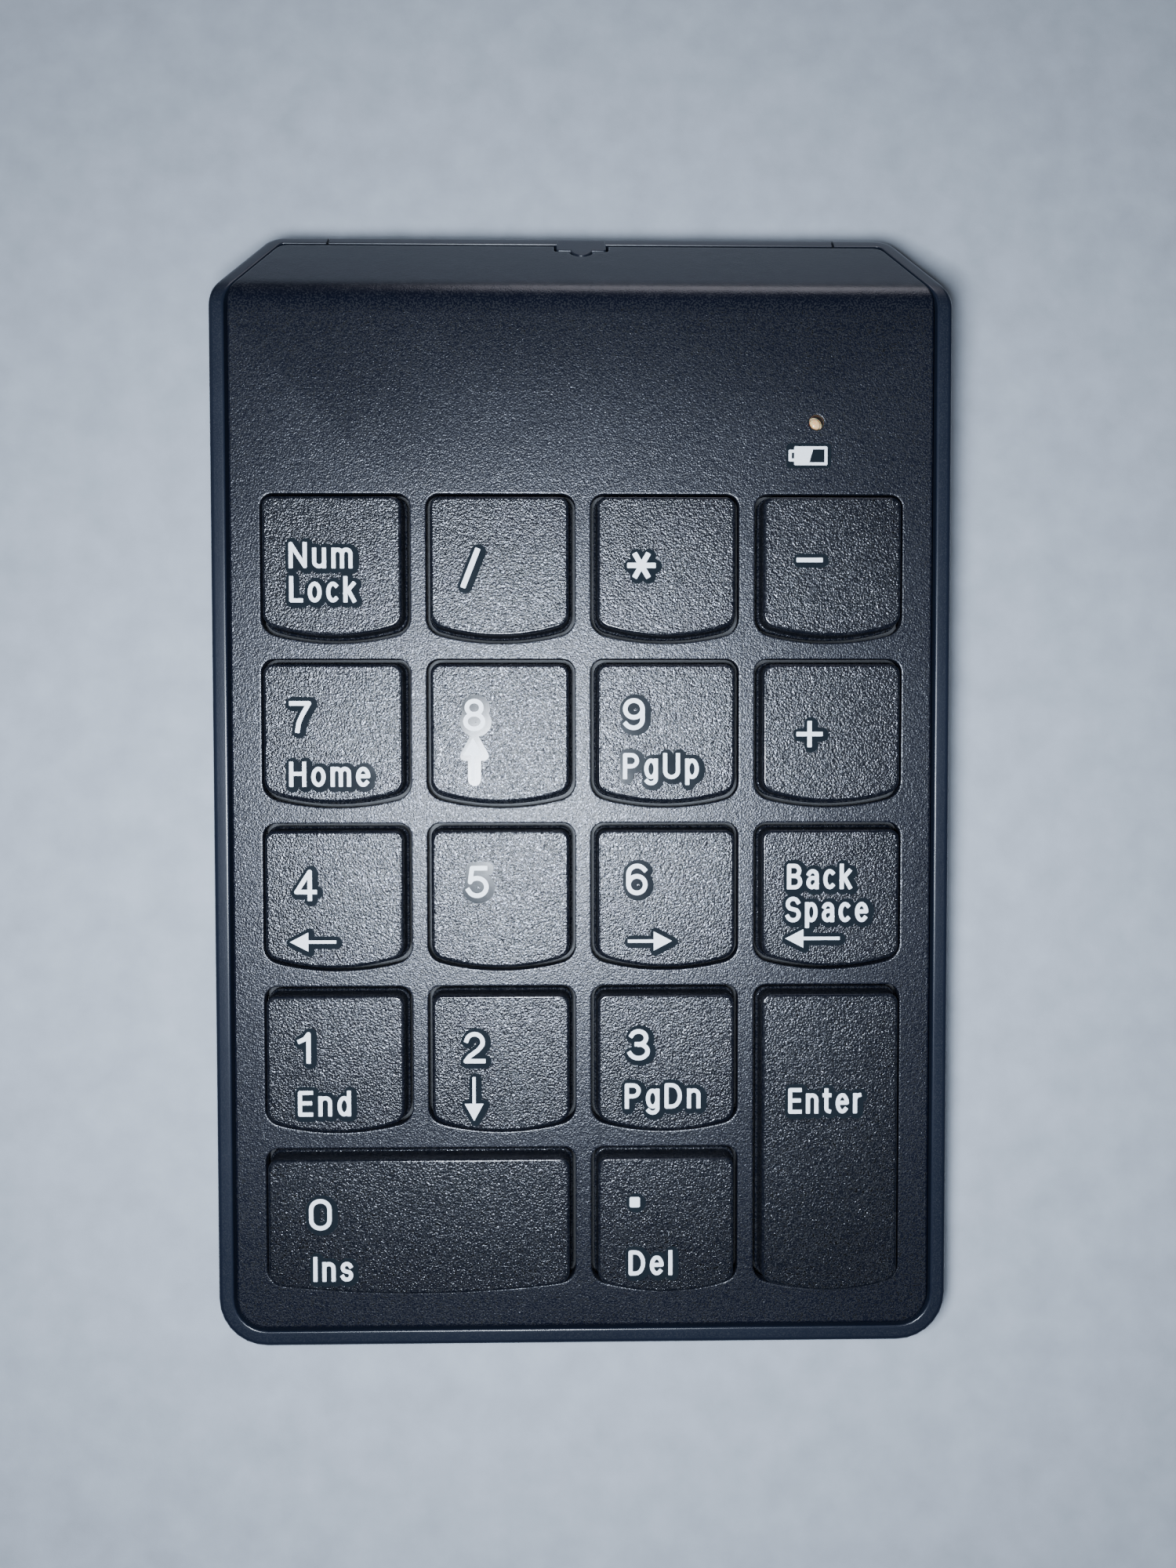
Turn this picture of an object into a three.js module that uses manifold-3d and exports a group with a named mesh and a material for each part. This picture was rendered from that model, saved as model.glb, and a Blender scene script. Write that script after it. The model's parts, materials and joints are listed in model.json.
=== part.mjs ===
// A cordless numeric keypad: a wedge-shaped case in two shells, eighteen plunger keys over a
// rubber dome mat and a membrane, and a battery bay with its own door at the rear.
// Millimetres, +Z up. X runs to the right, Y from the front edge to the rear, and the origin is
// the middle of the footprint at table height. Inside the deck group, y runs up the sloping
// deck from the middle of the key block and z is the height above the deck's face.
import * as THREE from "three";
import { mergeVertices } from "three/addons/utils/BufferGeometryUtils.js";
import Module from "manifold-3d";

const wasm = await Module();
wasm.setup();

// ---- Driving dimensions -------------------------------------------------------------------
const KEY_PITCH = 19.05;
const DECK_SLOPE = THREE.MathUtils.degToRad(4.9);
const FRONT_HEIGHT = 9.6; // top of the case at its front edge, above the table
const FOOT_PROUD = 0.6;
const FLOOR = 1.2; // thickness of the case's floor and the door
const CASE_WIDTH = 85.8;
const FRONT_EDGE = -53.0; // along the deck, from the middle of the key block
const RIDGE_START = 67.8; // where the deck begins to turn down
const RIDGE_RADIUS = 5.0;
const REAR_SLOPE = THREE.MathUtils.degToRad(46); // of the rear face, from the deck
const REAR_SLOPE_LENGTH = 12.2;
const REAR_CORNER_START = 69.8; // the plan's rear corners are cut off from here back
const REAR_WIDTH = 75.6;
const FRONT_CORNER_RADIUS = 5.6;
const RIM = 1.8; // the lower case's wall, seen as a rim round the deck
const REAR_RIM = 1.36;
const GROOVE = 0.4; // between the rim and the upper cover
const COVER = 1.6; // thickness of the upper cover

const KEY_TRAVEL = 2.0;
const OPENING_HALF = 8.6; // half the width of one key's opening, at its plain sides
const KEY_TOP = 2.15;
const SKIRT_BOTTOM = -1.9;
const CAP = 1.1; // thickness of a key's top
const KEY_WALL = 1.0;
const STEM_RADIUS = 1.9;
const STEM_BOTTOM = -4.9;
const SLEEVE_TOP = -1.3;
const SLEEVE_RADIUS = 3.0;
const SLEEVE_BORE = 2.15;

const FRAME_TOP = -4.3;
const FRAME_BOTTOM = -5.2;
const DOME_TOP = -5.0;
const MAT_TOP = -7.2;
const MAT_BOTTOM = -7.5;
const MEMBRANE_TOP = -7.55;
const MEMBRANE_BOTTOM = -7.85;
const BACK_PLATE_TOP = -7.9;
const BACK_PLATE_BOTTOM = -8.25;
const STACK = { halfWidth: 37.6, front: -45.8, rear: 47.2, corner: 5 };

const LAMP = { x: 27.1, y: 55.0, hole: 0.875 };
const BOARD = { left: -6, right: 35, front: 47.7, rear: 56.4, top: -7.9, thickness: 1.0 };
const BAY = { end: 29.5, foot: 56.7, shelf: 5.8, front: 58.4, ceiling: 16.5, wall: 1.0 };
const DOOR = { halfWidth: 30.7, front: 57.0, gap: 0.3 };
const CELL = { radius: 7.1, y: 66.0, z: 9.2, left: -21.6, length: 49.2 };
const SCREW_PLACES = [
  { name: "case_screw_front_left", x: -37.7, y: -47.8 },
  { name: "case_screw_front_right", x: 37.7, y: -47.8 },
  { name: "case_screw_rear_left", x: -37.9, y: 51.0 },
  { name: "case_screw_rear_right", x: 37.9, y: 51.0 },
];
const FOOT_PLACES = [
  { name: "foot_front_left", x: -25, y: -45.5 },
  { name: "foot_front_right", x: 25, y: -45.5 },
  { name: "foot_rear_left", x: -25, y: 50.5 },
  { name: "foot_rear_right", x: 25, y: 50.5 },
];

// name, column, row, columns wide, rows tall; row 0 is the one nearest the rear
const KEYS = [
  ["key_num_lock", 0, 0, 1, 1],
  ["key_divide", 1, 0, 1, 1],
  ["key_multiply", 2, 0, 1, 1],
  ["key_subtract", 3, 0, 1, 1],
  ["key_7", 0, 1, 1, 1],
  ["key_8", 1, 1, 1, 1],
  ["key_9", 2, 1, 1, 1],
  ["key_add", 3, 1, 1, 1],
  ["key_4", 0, 2, 1, 1],
  ["key_5", 1, 2, 1, 1],
  ["key_6", 2, 2, 1, 1],
  ["key_backspace", 3, 2, 1, 1],
  ["key_1", 0, 3, 1, 1],
  ["key_2", 1, 3, 1, 1],
  ["key_3", 2, 3, 1, 1],
  ["key_enter", 3, 3, 1, 2],
  ["key_0", 0, 4, 2, 1],
  ["key_decimal", 2, 4, 1, 1],
].map(([name, column, row, wide, tall]) => ({
  name,
  wide,
  tall,
  x: (column + (wide - 1) / 2 - 1.5) * KEY_PITCH,
  y: (2 - row - (tall - 1) / 2) * KEY_PITCH,
}));

// The wire under each double key, in that key's own frame: it turns on lugs of the key frame.
const WIRE = { radius: 0.45, arm: 5.5, half: 14.5, end: 16.2, pivotY: -0.5, pivotZ: -3.4 };
const WIRE_REST_ANGLE = Math.asin(KEY_TRAVEL / 2 / WIRE.arm);
WIRE.barY = WIRE.pivotY + WIRE.arm * Math.cos(WIRE_REST_ANGLE);
WIRE.barZ = WIRE.pivotZ + KEY_TRAVEL / 2;

// Stakes of the key frame that locate the mat, the membrane and the back plate
const STAKE_PLACES = [-1, 1].flatMap((side) =>
  [-1.5, -0.5, 0.5, 1.5].map((row) => ({ x: side * KEY_PITCH, y: row * KEY_PITCH })),
);
const STAKE_RADIUS = 0.9;
const STAKE_HOLE = 1.2;

// ---- Worked-out places --------------------------------------------------------------------
const cosSlope = Math.cos(DECK_SLOPE);
const sinSlope = Math.sin(DECK_SLOPE);
const DECK_LEVEL = FRONT_HEIGHT - FRONT_EDGE * sinSlope; // height of the deck frame's origin

// A point (y, z) of the deck frame as (y, z) of the case frame
function inCase(y, z) {
  return [y * cosSlope - z * sinSlope, DECK_LEVEL + y * sinSlope + z * cosSlope];
}

const RIDGE_END = [
  RIDGE_START + RIDGE_RADIUS * Math.sin(REAR_SLOPE),
  -RIDGE_RADIUS * (1 - Math.cos(REAR_SLOPE)),
];
const SLOPE_END = [
  RIDGE_END[0] + REAR_SLOPE_LENGTH * Math.cos(REAR_SLOPE),
  RIDGE_END[1] - REAR_SLOPE_LENGTH * Math.sin(REAR_SLOPE),
];
const FRONT_Y = inCase(FRONT_EDGE, 0)[0];
const [REAR_Y] = inCase(...SLOPE_END);
const CENTRE_Y = (FRONT_Y + REAR_Y) / 2;
const FLOOR_BOTTOM = FOOT_PROUD;
const FLOOR_TOP = FOOT_PROUD + FLOOR;

// ---- Solids: three.js geometries, joined and cut --------------------------------------------
// A closed geometry as a solid, turned to face outwards
function solid(geometry) {
  const bare = geometry.clone();
  bare.deleteAttribute("normal");
  bare.deleteAttribute("uv");
  const merged = mergeVertices(bare, 1e-4);
  const triVerts = new Uint32Array(merged.index.array);
  const build = () =>
    new wasm.Manifold(
      new wasm.Mesh({ numProp: 3, vertProperties: merged.attributes.position.array, triVerts }),
    );
  const made = build();
  if (made.volume() > 0) return made;
  for (let i = 0; i < triVerts.length; i += 3) {
    [triVerts[i + 1], triVerts[i + 2]] = [triVerts[i + 2], triVerts[i + 1]];
  }
  return build();
}

function geometryOf(made) {
  const mesh = made.getMesh();
  const geometry = new THREE.BufferGeometry();
  geometry.setAttribute("position", new THREE.BufferAttribute(mesh.vertProperties, 3));
  geometry.setIndex(new THREE.BufferAttribute(mesh.triVerts, 1));
  geometry.computeVertexNormals();
  return geometry;
}

const joined = (...solids) => solids.reduce((all, one) => all.add(one));
const cutBy = (whole, ...tools) => tools.reduce((left, tool) => left.subtract(tool), whole);

function box([x0, x1], [y0, y1], [z0, z1]) {
  const geometry = new THREE.BoxGeometry(x1 - x0, y1 - y0, z1 - z0);
  return solid(geometry.translate((x0 + x1) / 2, (y0 + y1) / 2, (z0 + z1) / 2));
}

function prism(shape, z0, z1, curveSegments = 4) {
  const depth = z1 - z0;
  const geometry = new THREE.ExtrudeGeometry(shape, { depth, bevelEnabled: false, curveSegments });
  return solid(geometry.translate(0, 0, z0));
}

function rod(x, y, z0, z1, radius, sides = 10) {
  const geometry = new THREE.CylinderGeometry(radius, radius, z1 - z0, sides);
  return solid(geometry.rotateX(Math.PI / 2).translate(x, y, (z0 + z1) / 2));
}

// A round bar from one point to another, a little longer at both ends so that bars join up
function bar(from, to, radius, sides = 6) {
  const along = new THREE.Vector3().subVectors(to, from);
  const geometry = new THREE.CylinderGeometry(radius, radius, along.length() + radius, sides);
  const turn = new THREE.Quaternion().setFromUnitVectors(
    new THREE.Vector3(0, 1, 0),
    along.clone().normalize(),
  );
  geometry.applyQuaternion(turn);
  const middle = from.clone().lerp(to, 0.5);
  return solid(geometry.translate(middle.x, middle.y, middle.z));
}

// A profile of (radius, height) points turned about Z; it starts and ends on the axis
function turned(points, sides = 10) {
  const profile = points.map(([radius, height]) => new THREE.Vector2(radius, height));
  return solid(new THREE.LatheGeometry(profile, sides).rotateX(Math.PI / 2));
}

// A profile of (y, z) points extruded along X
function sideProfile(points, x0, x1) {
  const shape = new THREE.Shape(points.map(([y, z]) => new THREE.Vector2(y, z)));
  const geometry = new THREE.ExtrudeGeometry(shape, { depth: x1 - x0, bevelEnabled: false });
  const turn = new THREE.Matrix4().makeBasis(
    new THREE.Vector3(0, 1, 0),
    new THREE.Vector3(0, 0, 1),
    new THREE.Vector3(1, 0, 0),
  );
  return solid(geometry.applyMatrix4(turn).translate(x0, 0, 0));
}

// A solid through stacked outlines that all have the same number of points
function loft(levels) {
  const count = levels[0].points.length;
  const positions = levels.flatMap(({ points, z }) => points.flatMap((p) => [p.x, p.y, z]));
  const index = [];
  for (let level = 0; level + 1 < levels.length; level += 1) {
    for (let i = 0; i < count; i += 1) {
      const here = level * count + i;
      const next = level * count + ((i + 1) % count);
      index.push(here, next, next + count, here, next + count, here + count);
    }
  }
  const top = (levels.length - 1) * count;
  THREE.ShapeUtils.triangulateShape(levels[0].points, []).forEach(([a, b, c]) => {
    index.push(c, b, a);
  });
  THREE.ShapeUtils.triangulateShape(levels.at(-1).points, []).forEach(([a, b, c]) => {
    index.push(top + a, top + b, top + c);
  });
  const geometry = new THREE.BufferGeometry();
  geometry.setAttribute("position", new THREE.Float32BufferAttribute(positions, 3));
  geometry.setIndex(index);
  return solid(geometry);
}

// A geometry-level move from the deck frame to the case frame
const deckMatrix = new THREE.Matrix4()
  .makeRotationX(DECK_SLOPE)
  .setPosition(0, 0, DECK_LEVEL);

function deckSolid(made) {
  return solid(geometryOf(made).applyMatrix4(deckMatrix));
}

// ---- Outlines -------------------------------------------------------------------------------
// A closed outline of straight sides with a round corner of radius r at each [x, y, r]
function roundedOutline(corners) {
  const shape = new THREE.Shape();
  corners.forEach(([x, y, radius], i) => {
    const corner = new THREE.Vector2(x, y);
    const before = new THREE.Vector2(...corners.at(i - 1)).sub(corner).normalize();
    const after = new THREE.Vector2(...corners[(i + 1) % corners.length]).sub(corner).normalize();
    const cut = radius / Math.tan(Math.acos(before.dot(after)) / 2);
    const start = before.multiplyScalar(cut).add(corner);
    const end = after.multiplyScalar(cut).add(corner);
    if (i === 0) shape.moveTo(start.x, start.y);
    else shape.lineTo(start.x, start.y);
    shape.quadraticCurveTo(x, y, end.x, end.y);
  });
  shape.closePath();
  return shape;
}

function rectangle(halfWidth, front, rear, radius) {
  return roundedOutline([
    [-halfWidth, front, radius],
    [halfWidth, front, radius],
    [halfWidth, rear, radius],
    [-halfWidth, rear, radius],
  ]);
}

// The case's plan, moved in by side and rear amounts; the rear corners are cut off at a slant
function casePlan(inset, rearInset) {
  const half = CASE_WIDTH / 2 - inset;
  const [cornerY] = inCase(REAR_CORNER_START, 0);
  const run = REAR_Y - cornerY;
  const step = (CASE_WIDTH - REAR_WIDTH) / 2;
  const slantInset = (inset * Math.hypot(run, step)) / run; // measured along X
  const slantX = (y) => CASE_WIDTH / 2 - slantInset - ((y - cornerY) * step) / run;
  const meetY = cornerY - ((slantInset - inset) * run) / step;
  const rear = REAR_Y - rearInset;
  const front = FRONT_Y + inset;
  const right = [
    [half, front, FRONT_CORNER_RADIUS - inset],
    [half, meetY, 7 - inset],
    [slantX(rear), rear, 2.4 - inset / 2],
  ];
  const left = right.map(([x, y, radius]) => [-x, y, radius]).reverse();
  return roundedOutline([...right, ...left]);
}

// A key's outline: straight at the rear and sides, with a front edge that bows forward
function keyOutline(key, inset) {
  const half = OPENING_HALF + ((key.wide - 1) * KEY_PITCH) / 2 - inset;
  const rear = OPENING_HALF + ((key.tall - 1) * KEY_PITCH) / 2 - inset;
  const front = -rear;
  const bow = key.wide > 1 ? 1.15 : 1.3;
  const rearRadius = Math.max(1.6 - inset / 2, 0.7);
  const frontRadius = Math.max(2.3 - inset / 2, 0.9);
  const bowX = half - frontRadius;
  const bowY = front + bow * (bowX / half) ** 2;
  const cornerY = bowY + ((2 * bow * bowX) / half ** 2) * frontRadius;
  const shape = new THREE.Shape();
  shape.moveTo(half - rearRadius, rear);
  shape.lineTo(rearRadius - half, rear);
  shape.quadraticCurveTo(-half, rear, -half, rear - rearRadius);
  shape.lineTo(-half, cornerY + frontRadius);
  shape.quadraticCurveTo(-half, cornerY, -bowX, bowY);
  shape.quadraticCurveTo(0, 2 * front - bowY, bowX, bowY);
  shape.quadraticCurveTo(half, cornerY, half, cornerY + frontRadius);
  shape.lineTo(half, rear - rearRadius);
  shape.quadraticCurveTo(half, rear, half - rearRadius, rear);
  return shape;
}

// The case's top line, from front to rear, moved down by a depth, in the case frame
function topLine(depth, turnSteps = 4) {
  const line = [[FRONT_EDGE - 5, -depth]];
  for (let i = 0; i <= turnSteps; i += 1) {
    const angle = (REAR_SLOPE * i) / turnSteps;
    const radius = RIDGE_RADIUS - depth;
    line.push([
      RIDGE_START + radius * Math.sin(angle),
      -RIDGE_RADIUS + radius * Math.cos(angle),
    ]);
  }
  const [turnY, turnZ] = line.at(-1);
  const beyond = REAR_SLOPE_LENGTH + 5;
  line.push([turnY + beyond * Math.cos(REAR_SLOPE), turnZ - beyond * Math.sin(REAR_SLOPE)]);
  return line.map(([y, z]) => inCase(y, z));
}

// Everything of the case's height below its top line, less a depth
function underTopLine(depth, halfWidth = CASE_WIDTH) {
  const line = topLine(depth);
  const [lastY] = line.at(-1);
  return sideProfile([[line[0][0], -5], [lastY, -5], ...line.reverse()], -halfWidth, halfWidth);
}

// ---- Finishes -------------------------------------------------------------------------------
const finish = (color, roughness, metalness = 0) =>
  new THREE.MeshStandardMaterial({ color, roughness, metalness });
const finishes = {
  cover: finish(0x24262c, 0.5),
  lowerCase: finish(0x212429, 0.55),
  key: finish(0x26282d, 0.6),
  frame: finish(0x2d2f33, 0.6),
  dome: finish(0xd8d8d2, 0.5),
  membrane: finish(0xb9c7c2, 0.35),
  steel: finish(0xb4b7ba, 0.35, 1),
  board: finish(0x1d5a38, 0.45),
  chip: finish(0x15161a, 0.4),
  lamp: finish(0xf0a850, 0.3),
  rubber: finish(0x1a1a1c, 0.9),
  cell: finish(0x2f5f8c, 0.35),
  leadBlack: finish(0x151515, 0.6),
  leadRed: finish(0xa02020, 0.6),
};

function named(name, made, material, place = [0, 0, 0]) {
  const mesh = new THREE.Mesh(geometryOf(made), material);
  mesh.name = name;
  mesh.position.set(...place);
  return mesh;
}

// ---- The door's latch -----------------------------------------------------------------------
// The tab climbs the rear face from the rim into a notch of the upper cover. Its outline is in
// (x, distance up the slope from the rim's lower edge), grown all round by a gap.
function latchOutline(grow) {
  const base = 0.3 - grow;
  const shoulder = REAR_RIM / Math.cos(REAR_SLOPE - DECK_SLOPE) + 1.6 + grow;
  const halfWidth = 3.0 + grow;
  const noseHalf = 1.3 + grow;
  const shape = new THREE.Shape();
  shape.moveTo(-halfWidth, base);
  shape.lineTo(halfWidth, base);
  shape.lineTo(halfWidth, shoulder);
  shape.lineTo(noseHalf, shoulder);
  shape.quadraticCurveTo(0, shoulder + 2.8, -noseHalf, shoulder);
  shape.lineTo(-halfWidth, shoulder);
  return shape;
}

function latchSolid(grow, above, below) {
  const climb = REAR_SLOPE - DECK_SLOPE;
  const [slopeY, slopeZ] = inCase(...SLOPE_END);
  const depth = above + below;
  const geometry = new THREE.ExtrudeGeometry(latchOutline(grow), {
    depth,
    bevelEnabled: false,
    curveSegments: 5,
  });
  geometry.translate(0, 0, -below);
  // outline x stays X, outline y climbs the slope towards the front, and depth leaves the face
  const turn = new THREE.Matrix4().makeBasis(
    new THREE.Vector3(-1, 0, 0),
    new THREE.Vector3(0, -Math.cos(climb), Math.sin(climb)),
    new THREE.Vector3(0, Math.sin(climb), Math.cos(climb)),
  );
  return solid(geometry.applyMatrix4(turn).translate(0, slopeY, slopeZ));
}

// ---- Case -----------------------------------------------------------------------------------
function caseEnvelope() {
  const bevel = 1.3;
  const shape = casePlan(bevel, bevel);
  const geometry = new THREE.ExtrudeGeometry(shape, {
    depth: 30,
    bevelThickness: bevel,
    bevelSize: bevel,
    bevelSegments: 2,
    curveSegments: 4,
  });
  const plan = solid(geometry.translate(0, 0, FLOOR_BOTTOM + bevel));
  return plan.intersect(underTopLine(0));
}

const envelope = caseEnvelope();
const cavity = prism(casePlan(RIM, REAR_RIM), FLOOR_TOP, 40);
const doorOpening = [-DOOR.halfWidth - DOOR.gap, DOOR.halfWidth + DOOR.gap];
const doorCut = box(doorOpening, [DOOR.front - DOOR.gap, REAR_Y + 5], [-1, FLOOR_TOP + 0.01]);
const rearWallCut = box(doorOpening, [REAR_Y - 3, REAR_Y + 5], [-1, 40]);

const SCREW = { headRadius: 1.8, headHeight: 1.2, shankRadius: 0.8, seat: 2.8, tip: 7.6 };
const POST_TOP = 3.8;

function screwPost({ x, y }) {
  return rod(x, y, FLOOR_BOTTOM + 0.3, POST_TOP, 3.1, 12);
}

function screwPassage({ x, y }) {
  return joined(rod(x, y, -1, SCREW.seat, 2.3, 12), rod(x, y, SCREW.seat - 1, POST_TOP + 1, 1.2, 8));
}

function footPocket({ x, y }, grow) {
  const outline = roundedOutline([
    [x - 6 - grow, y - 2.5 - grow, 2.4 + grow],
    [x + 6 + grow, y - 2.5 - grow, 2.4 + grow],
    [x + 6 + grow, y + 2.5 + grow, 2.4 + grow],
    [x - 6 - grow, y + 2.5 + grow, 2.4 + grow],
  ]);
  return outline;
}

// The battery bay stands on the floor's rear edge: a foot, a shelf back to the front wall, a
// ceiling that bends down with the case's rear face, and two end walls clear of the door.
function bayWalls() {
  const { end, foot, shelf, front, ceiling, wall } = BAY;
  const arch = sideProfile(
    [
      [foot - wall, FLOOR_TOP - 0.4],
      [foot, FLOOR_TOP - 0.4],
      [foot, shelf - wall],
      [front, shelf - wall],
      [front, ceiling],
      [68.8, ceiling],
      [74.6, 11.2],
      [75.1, 11.8],
      [69.2, ceiling + 0.7],
      [front - wall, ceiling + 0.7],
      [front - wall, shelf],
      [foot - wall, shelf],
    ],
    -end - wall,
    end + wall,
  );
  const endProfile = [
    [front - 0.4, shelf - wall],
    [front - 0.4, FLOOR_TOP + 0.4],
    [77.4, FLOOR_TOP + 0.4],
    [77.4, 8.8],
    [69.0, ceiling + 0.2],
    [front - 0.4, ceiling + 0.2],
  ];
  return joined(
    arch,
    sideProfile(endProfile, -end - wall, -end),
    sideProfile(endProfile, end, end + wall),
  );
}

const TONGUE_PLACES = [-20, 20];
const CONTACT_PLACES = [-BAY.end + 0.3, BAY.end - 0.7]; // the outer face of each plate

function bottomCase() {
  const ribs = [-0.5, 0.5].map((column) => {
    const line = [
      inCase(-42, BACK_PLATE_BOTTOM - 0.15),
      inCase(45, BACK_PLATE_BOTTOM - 0.15),
    ];
    const x = column * KEY_PITCH;
    const profile = [
      [line[0][0], FLOOR_TOP - 0.4],
      [line[1][0], FLOOR_TOP - 0.4],
      line[1],
      line[0],
    ];
    return sideProfile(profile, x - 0.6, x + 0.6);
  });
  const boardRests = [BOARD.left + 1.5, BOARD.right - 1.5].map((x) => {
    const [y, z] = inCase(52, BOARD.top - BOARD.thickness - 0.25);
    return box([x - 1, x + 1], [y - 3, y + 3], [FLOOR_TOP - 0.4, z - 0.3]);
  });
  const walls = bayWalls();
  const tongueSlots = TONGUE_PLACES.map((x) =>
    box([x - 5.4, x + 5.4], [BAY.foot - BAY.wall - 1, BAY.foot + 1], [FLOOR_TOP, 4.4]),
  );
  const contactSlots = CONTACT_PLACES.map((x) =>
    box([x - 0.3, x + 0.7], [BAY.front - BAY.wall - 1, BAY.front + 1], [11.6, 14.4]),
  );
  let shell = cutBy(envelope, cavity, doorCut, rearWallCut);
  shell = joined(shell, ...ribs, ...boardRests, ...SCREW_PLACES.map(screwPost), walls);
  shell = shell.intersect(envelope);
  return cutBy(
    shell,
    ...SCREW_PLACES.map(screwPassage),
    ...FOOT_PLACES.map((place) => prism(footPocket(place, 0.1), -1, FLOOR_BOTTOM + 0.6)),
    ...tongueSlots,
    ...contactSlots,
  );
}

function batteryDoor() {
  const block = box(
    [-DOOR.halfWidth, DOOR.halfWidth],
    [DOOR.front, REAR_Y + 5],
    [-1, 40],
  );
  const panel = cutBy(envelope, cavity).intersect(block);
  const tongues = TONGUE_PLACES.map((x) =>
    box([x - 5, x + 5], [DOOR.front - 2.4, DOOR.front + 2], [FLOOR_TOP + 0.15, FLOOR_TOP + 0.95]),
  );
  const tongueRoots = TONGUE_PLACES.map((x) =>
    box([x - 5, x + 5], [DOOR.front, DOOR.front + 2], [FLOOR_TOP - 0.4, FLOOR_TOP + 0.6]),
  );
  const braces = [-12, 0, 12].map((x) =>
    box([x - 0.5, x + 0.5], [REAR_Y - 2.6, REAR_Y - 1], [FLOOR_TOP - 0.4, 9.4]),
  );
  return joined(panel, ...tongues, ...tongueRoots, ...braces, latchSolid(0, 0, 1.3));
}

function topCover() {
  const plan = prism(casePlan(RIM + GROOVE, REAR_RIM + GROOVE), 3, 40);
  const band = cutBy(underTopLine(0), underTopLine(COVER, CASE_WIDTH + 1));
  const bosses = SCREW_PLACES.map(({ x, y }) => rod(x, y, POST_TOP + 0.1, 22, 2.2, 10));
  const bossLimit = underTopLine(COVER / 2);
  const pilots = SCREW_PLACES.map(({ x, y }) => rod(x, y, POST_TOP - 1, SCREW.tip + 0.6, 1.0, 8));
  let cover = joined(plan.intersect(band), ...bosses.map((boss) => boss.intersect(bossLimit)));
  const openings = KEYS.map((key) => {
    const outline = prism(keyOutline(key, 0), -COVER - 1, 3, 3);
    return deckSolid(solid(geometryOf(outline).translate(key.x, key.y, 0)));
  });
  const lampHole = deckSolid(rod(LAMP.x, LAMP.y, -COVER - 1, 3, LAMP.hole, 12));
  cover = cutBy(cover, ...openings, lampHole, ...pilots, latchSolid(0.28, 3, 4));
  return cover;
}

// ---- Keys -----------------------------------------------------------------------------------
// Moves a solid a quarter turn, for the tall key, whose wire runs up the deck
function turnedForKey(key, made) {
  return key.tall > 1 ? solid(geometryOf(made).rotateZ(Math.PI / 2)) : made;
}

function keyCap(key) {
  const level = (inset, z) => ({ points: keyOutline(key, inset).extractPoints(3).shape, z });
  const levels = [level(0.35, SKIRT_BOTTOM), level(0.58, KEY_TOP - 0.35), level(0.78, KEY_TOP)];
  // a closed outline repeats its first point
  levels.forEach((one) => {
    if (one.points[0].distanceTo(one.points.at(-1)) < 1e-6) one.points.pop();
  });
  const underside = KEY_TOP - CAP;
  const hollow = prism(keyOutline(key, 0.35 + KEY_WALL), SKIRT_BOTTOM - 1, underside, 2);
  const stem = rod(0, 0, STEM_BOTTOM, underside + 0.4, STEM_RADIUS, 8);
  let cap = joined(cutBy(loft(levels), hollow), stem);
  if (key.wide + key.tall > 2) {
    const grip = WIRE.radius + 0.3;
    [-9, 9].forEach((x) => {
      const block = box(
        [x - 1, x + 1],
        [WIRE.barY - grip - 0.7, WIRE.barY + grip + 0.8],
        [WIRE.barZ - 0.7, underside + 0.4],
      );
      const slot = box(
        [x - 2, x + 2],
        [WIRE.barY - grip + 0.05, WIRE.barY + grip + 0.05],
        [WIRE.barZ - 2, WIRE.barZ + WIRE.radius + 0.15],
      );
      cap = joined(cap, turnedForKey(key, cutBy(block, slot)));
    });
  }
  return cap;
}

function stabilizerWire(key) {
  const at = (x, y, z) => new THREE.Vector3(x, y, z);
  const { half, end, pivotY, pivotZ, barY, barZ, radius } = WIRE;
  const bars = [bar(at(-half, barY, barZ), at(half, barY, barZ), radius)];
  [-1, 1].forEach((side) => {
    bars.push(bar(at(side * half, pivotY, pivotZ), at(side * half, barY, barZ), radius));
    bars.push(bar(at(side * half, pivotY, pivotZ), at(side * end, pivotY, pivotZ), radius));
  });
  return turnedForKey(key, joined(...bars));
}

// Where a wire turns: two lugs on the key frame, and the window that the wire dips into
function wireLugs(key) {
  const lugs = [-1, 1].map((side) => {
    const across = [side * 15.25, side * 16.35].sort((a, b) => a - b);
    const y = WIRE.pivotY;
    const lug = box(across, [y - 1.3, y + 1.3], [FRAME_TOP - 0.3, WIRE.pivotZ + 1.1]);
    const eye = box([-20, 20], [y - 0.65, y + 0.65], [WIRE.pivotZ - 0.65, WIRE.pivotZ + 0.65]);
    return cutBy(lug, eye);
  });
  return lugs.map((lug) => turnedForKey(key, lug));
}

function wireWindow(key) {
  const z = [FRAME_BOTTOM - 1, FRAME_TOP + 1];
  const across = [-WIRE.half - 0.65, WIRE.half + 0.65];
  const long = box(across, [WIRE.barY - 1.65, WIRE.barY + 1.75], z);
  const arms = [-1, 1].map((side) =>
    box([side * WIRE.half - 0.65, side * WIRE.half + 0.65], [0.9, WIRE.barY + 1], z),
  );
  return turnedForKey(key, joined(long, ...arms));
}

const doubleKeys = KEYS.filter((key) => key.wide + key.tall > 2);

function placed(made, { x, y }) {
  return solid(geometryOf(made).translate(x, y, 0));
}

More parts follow.
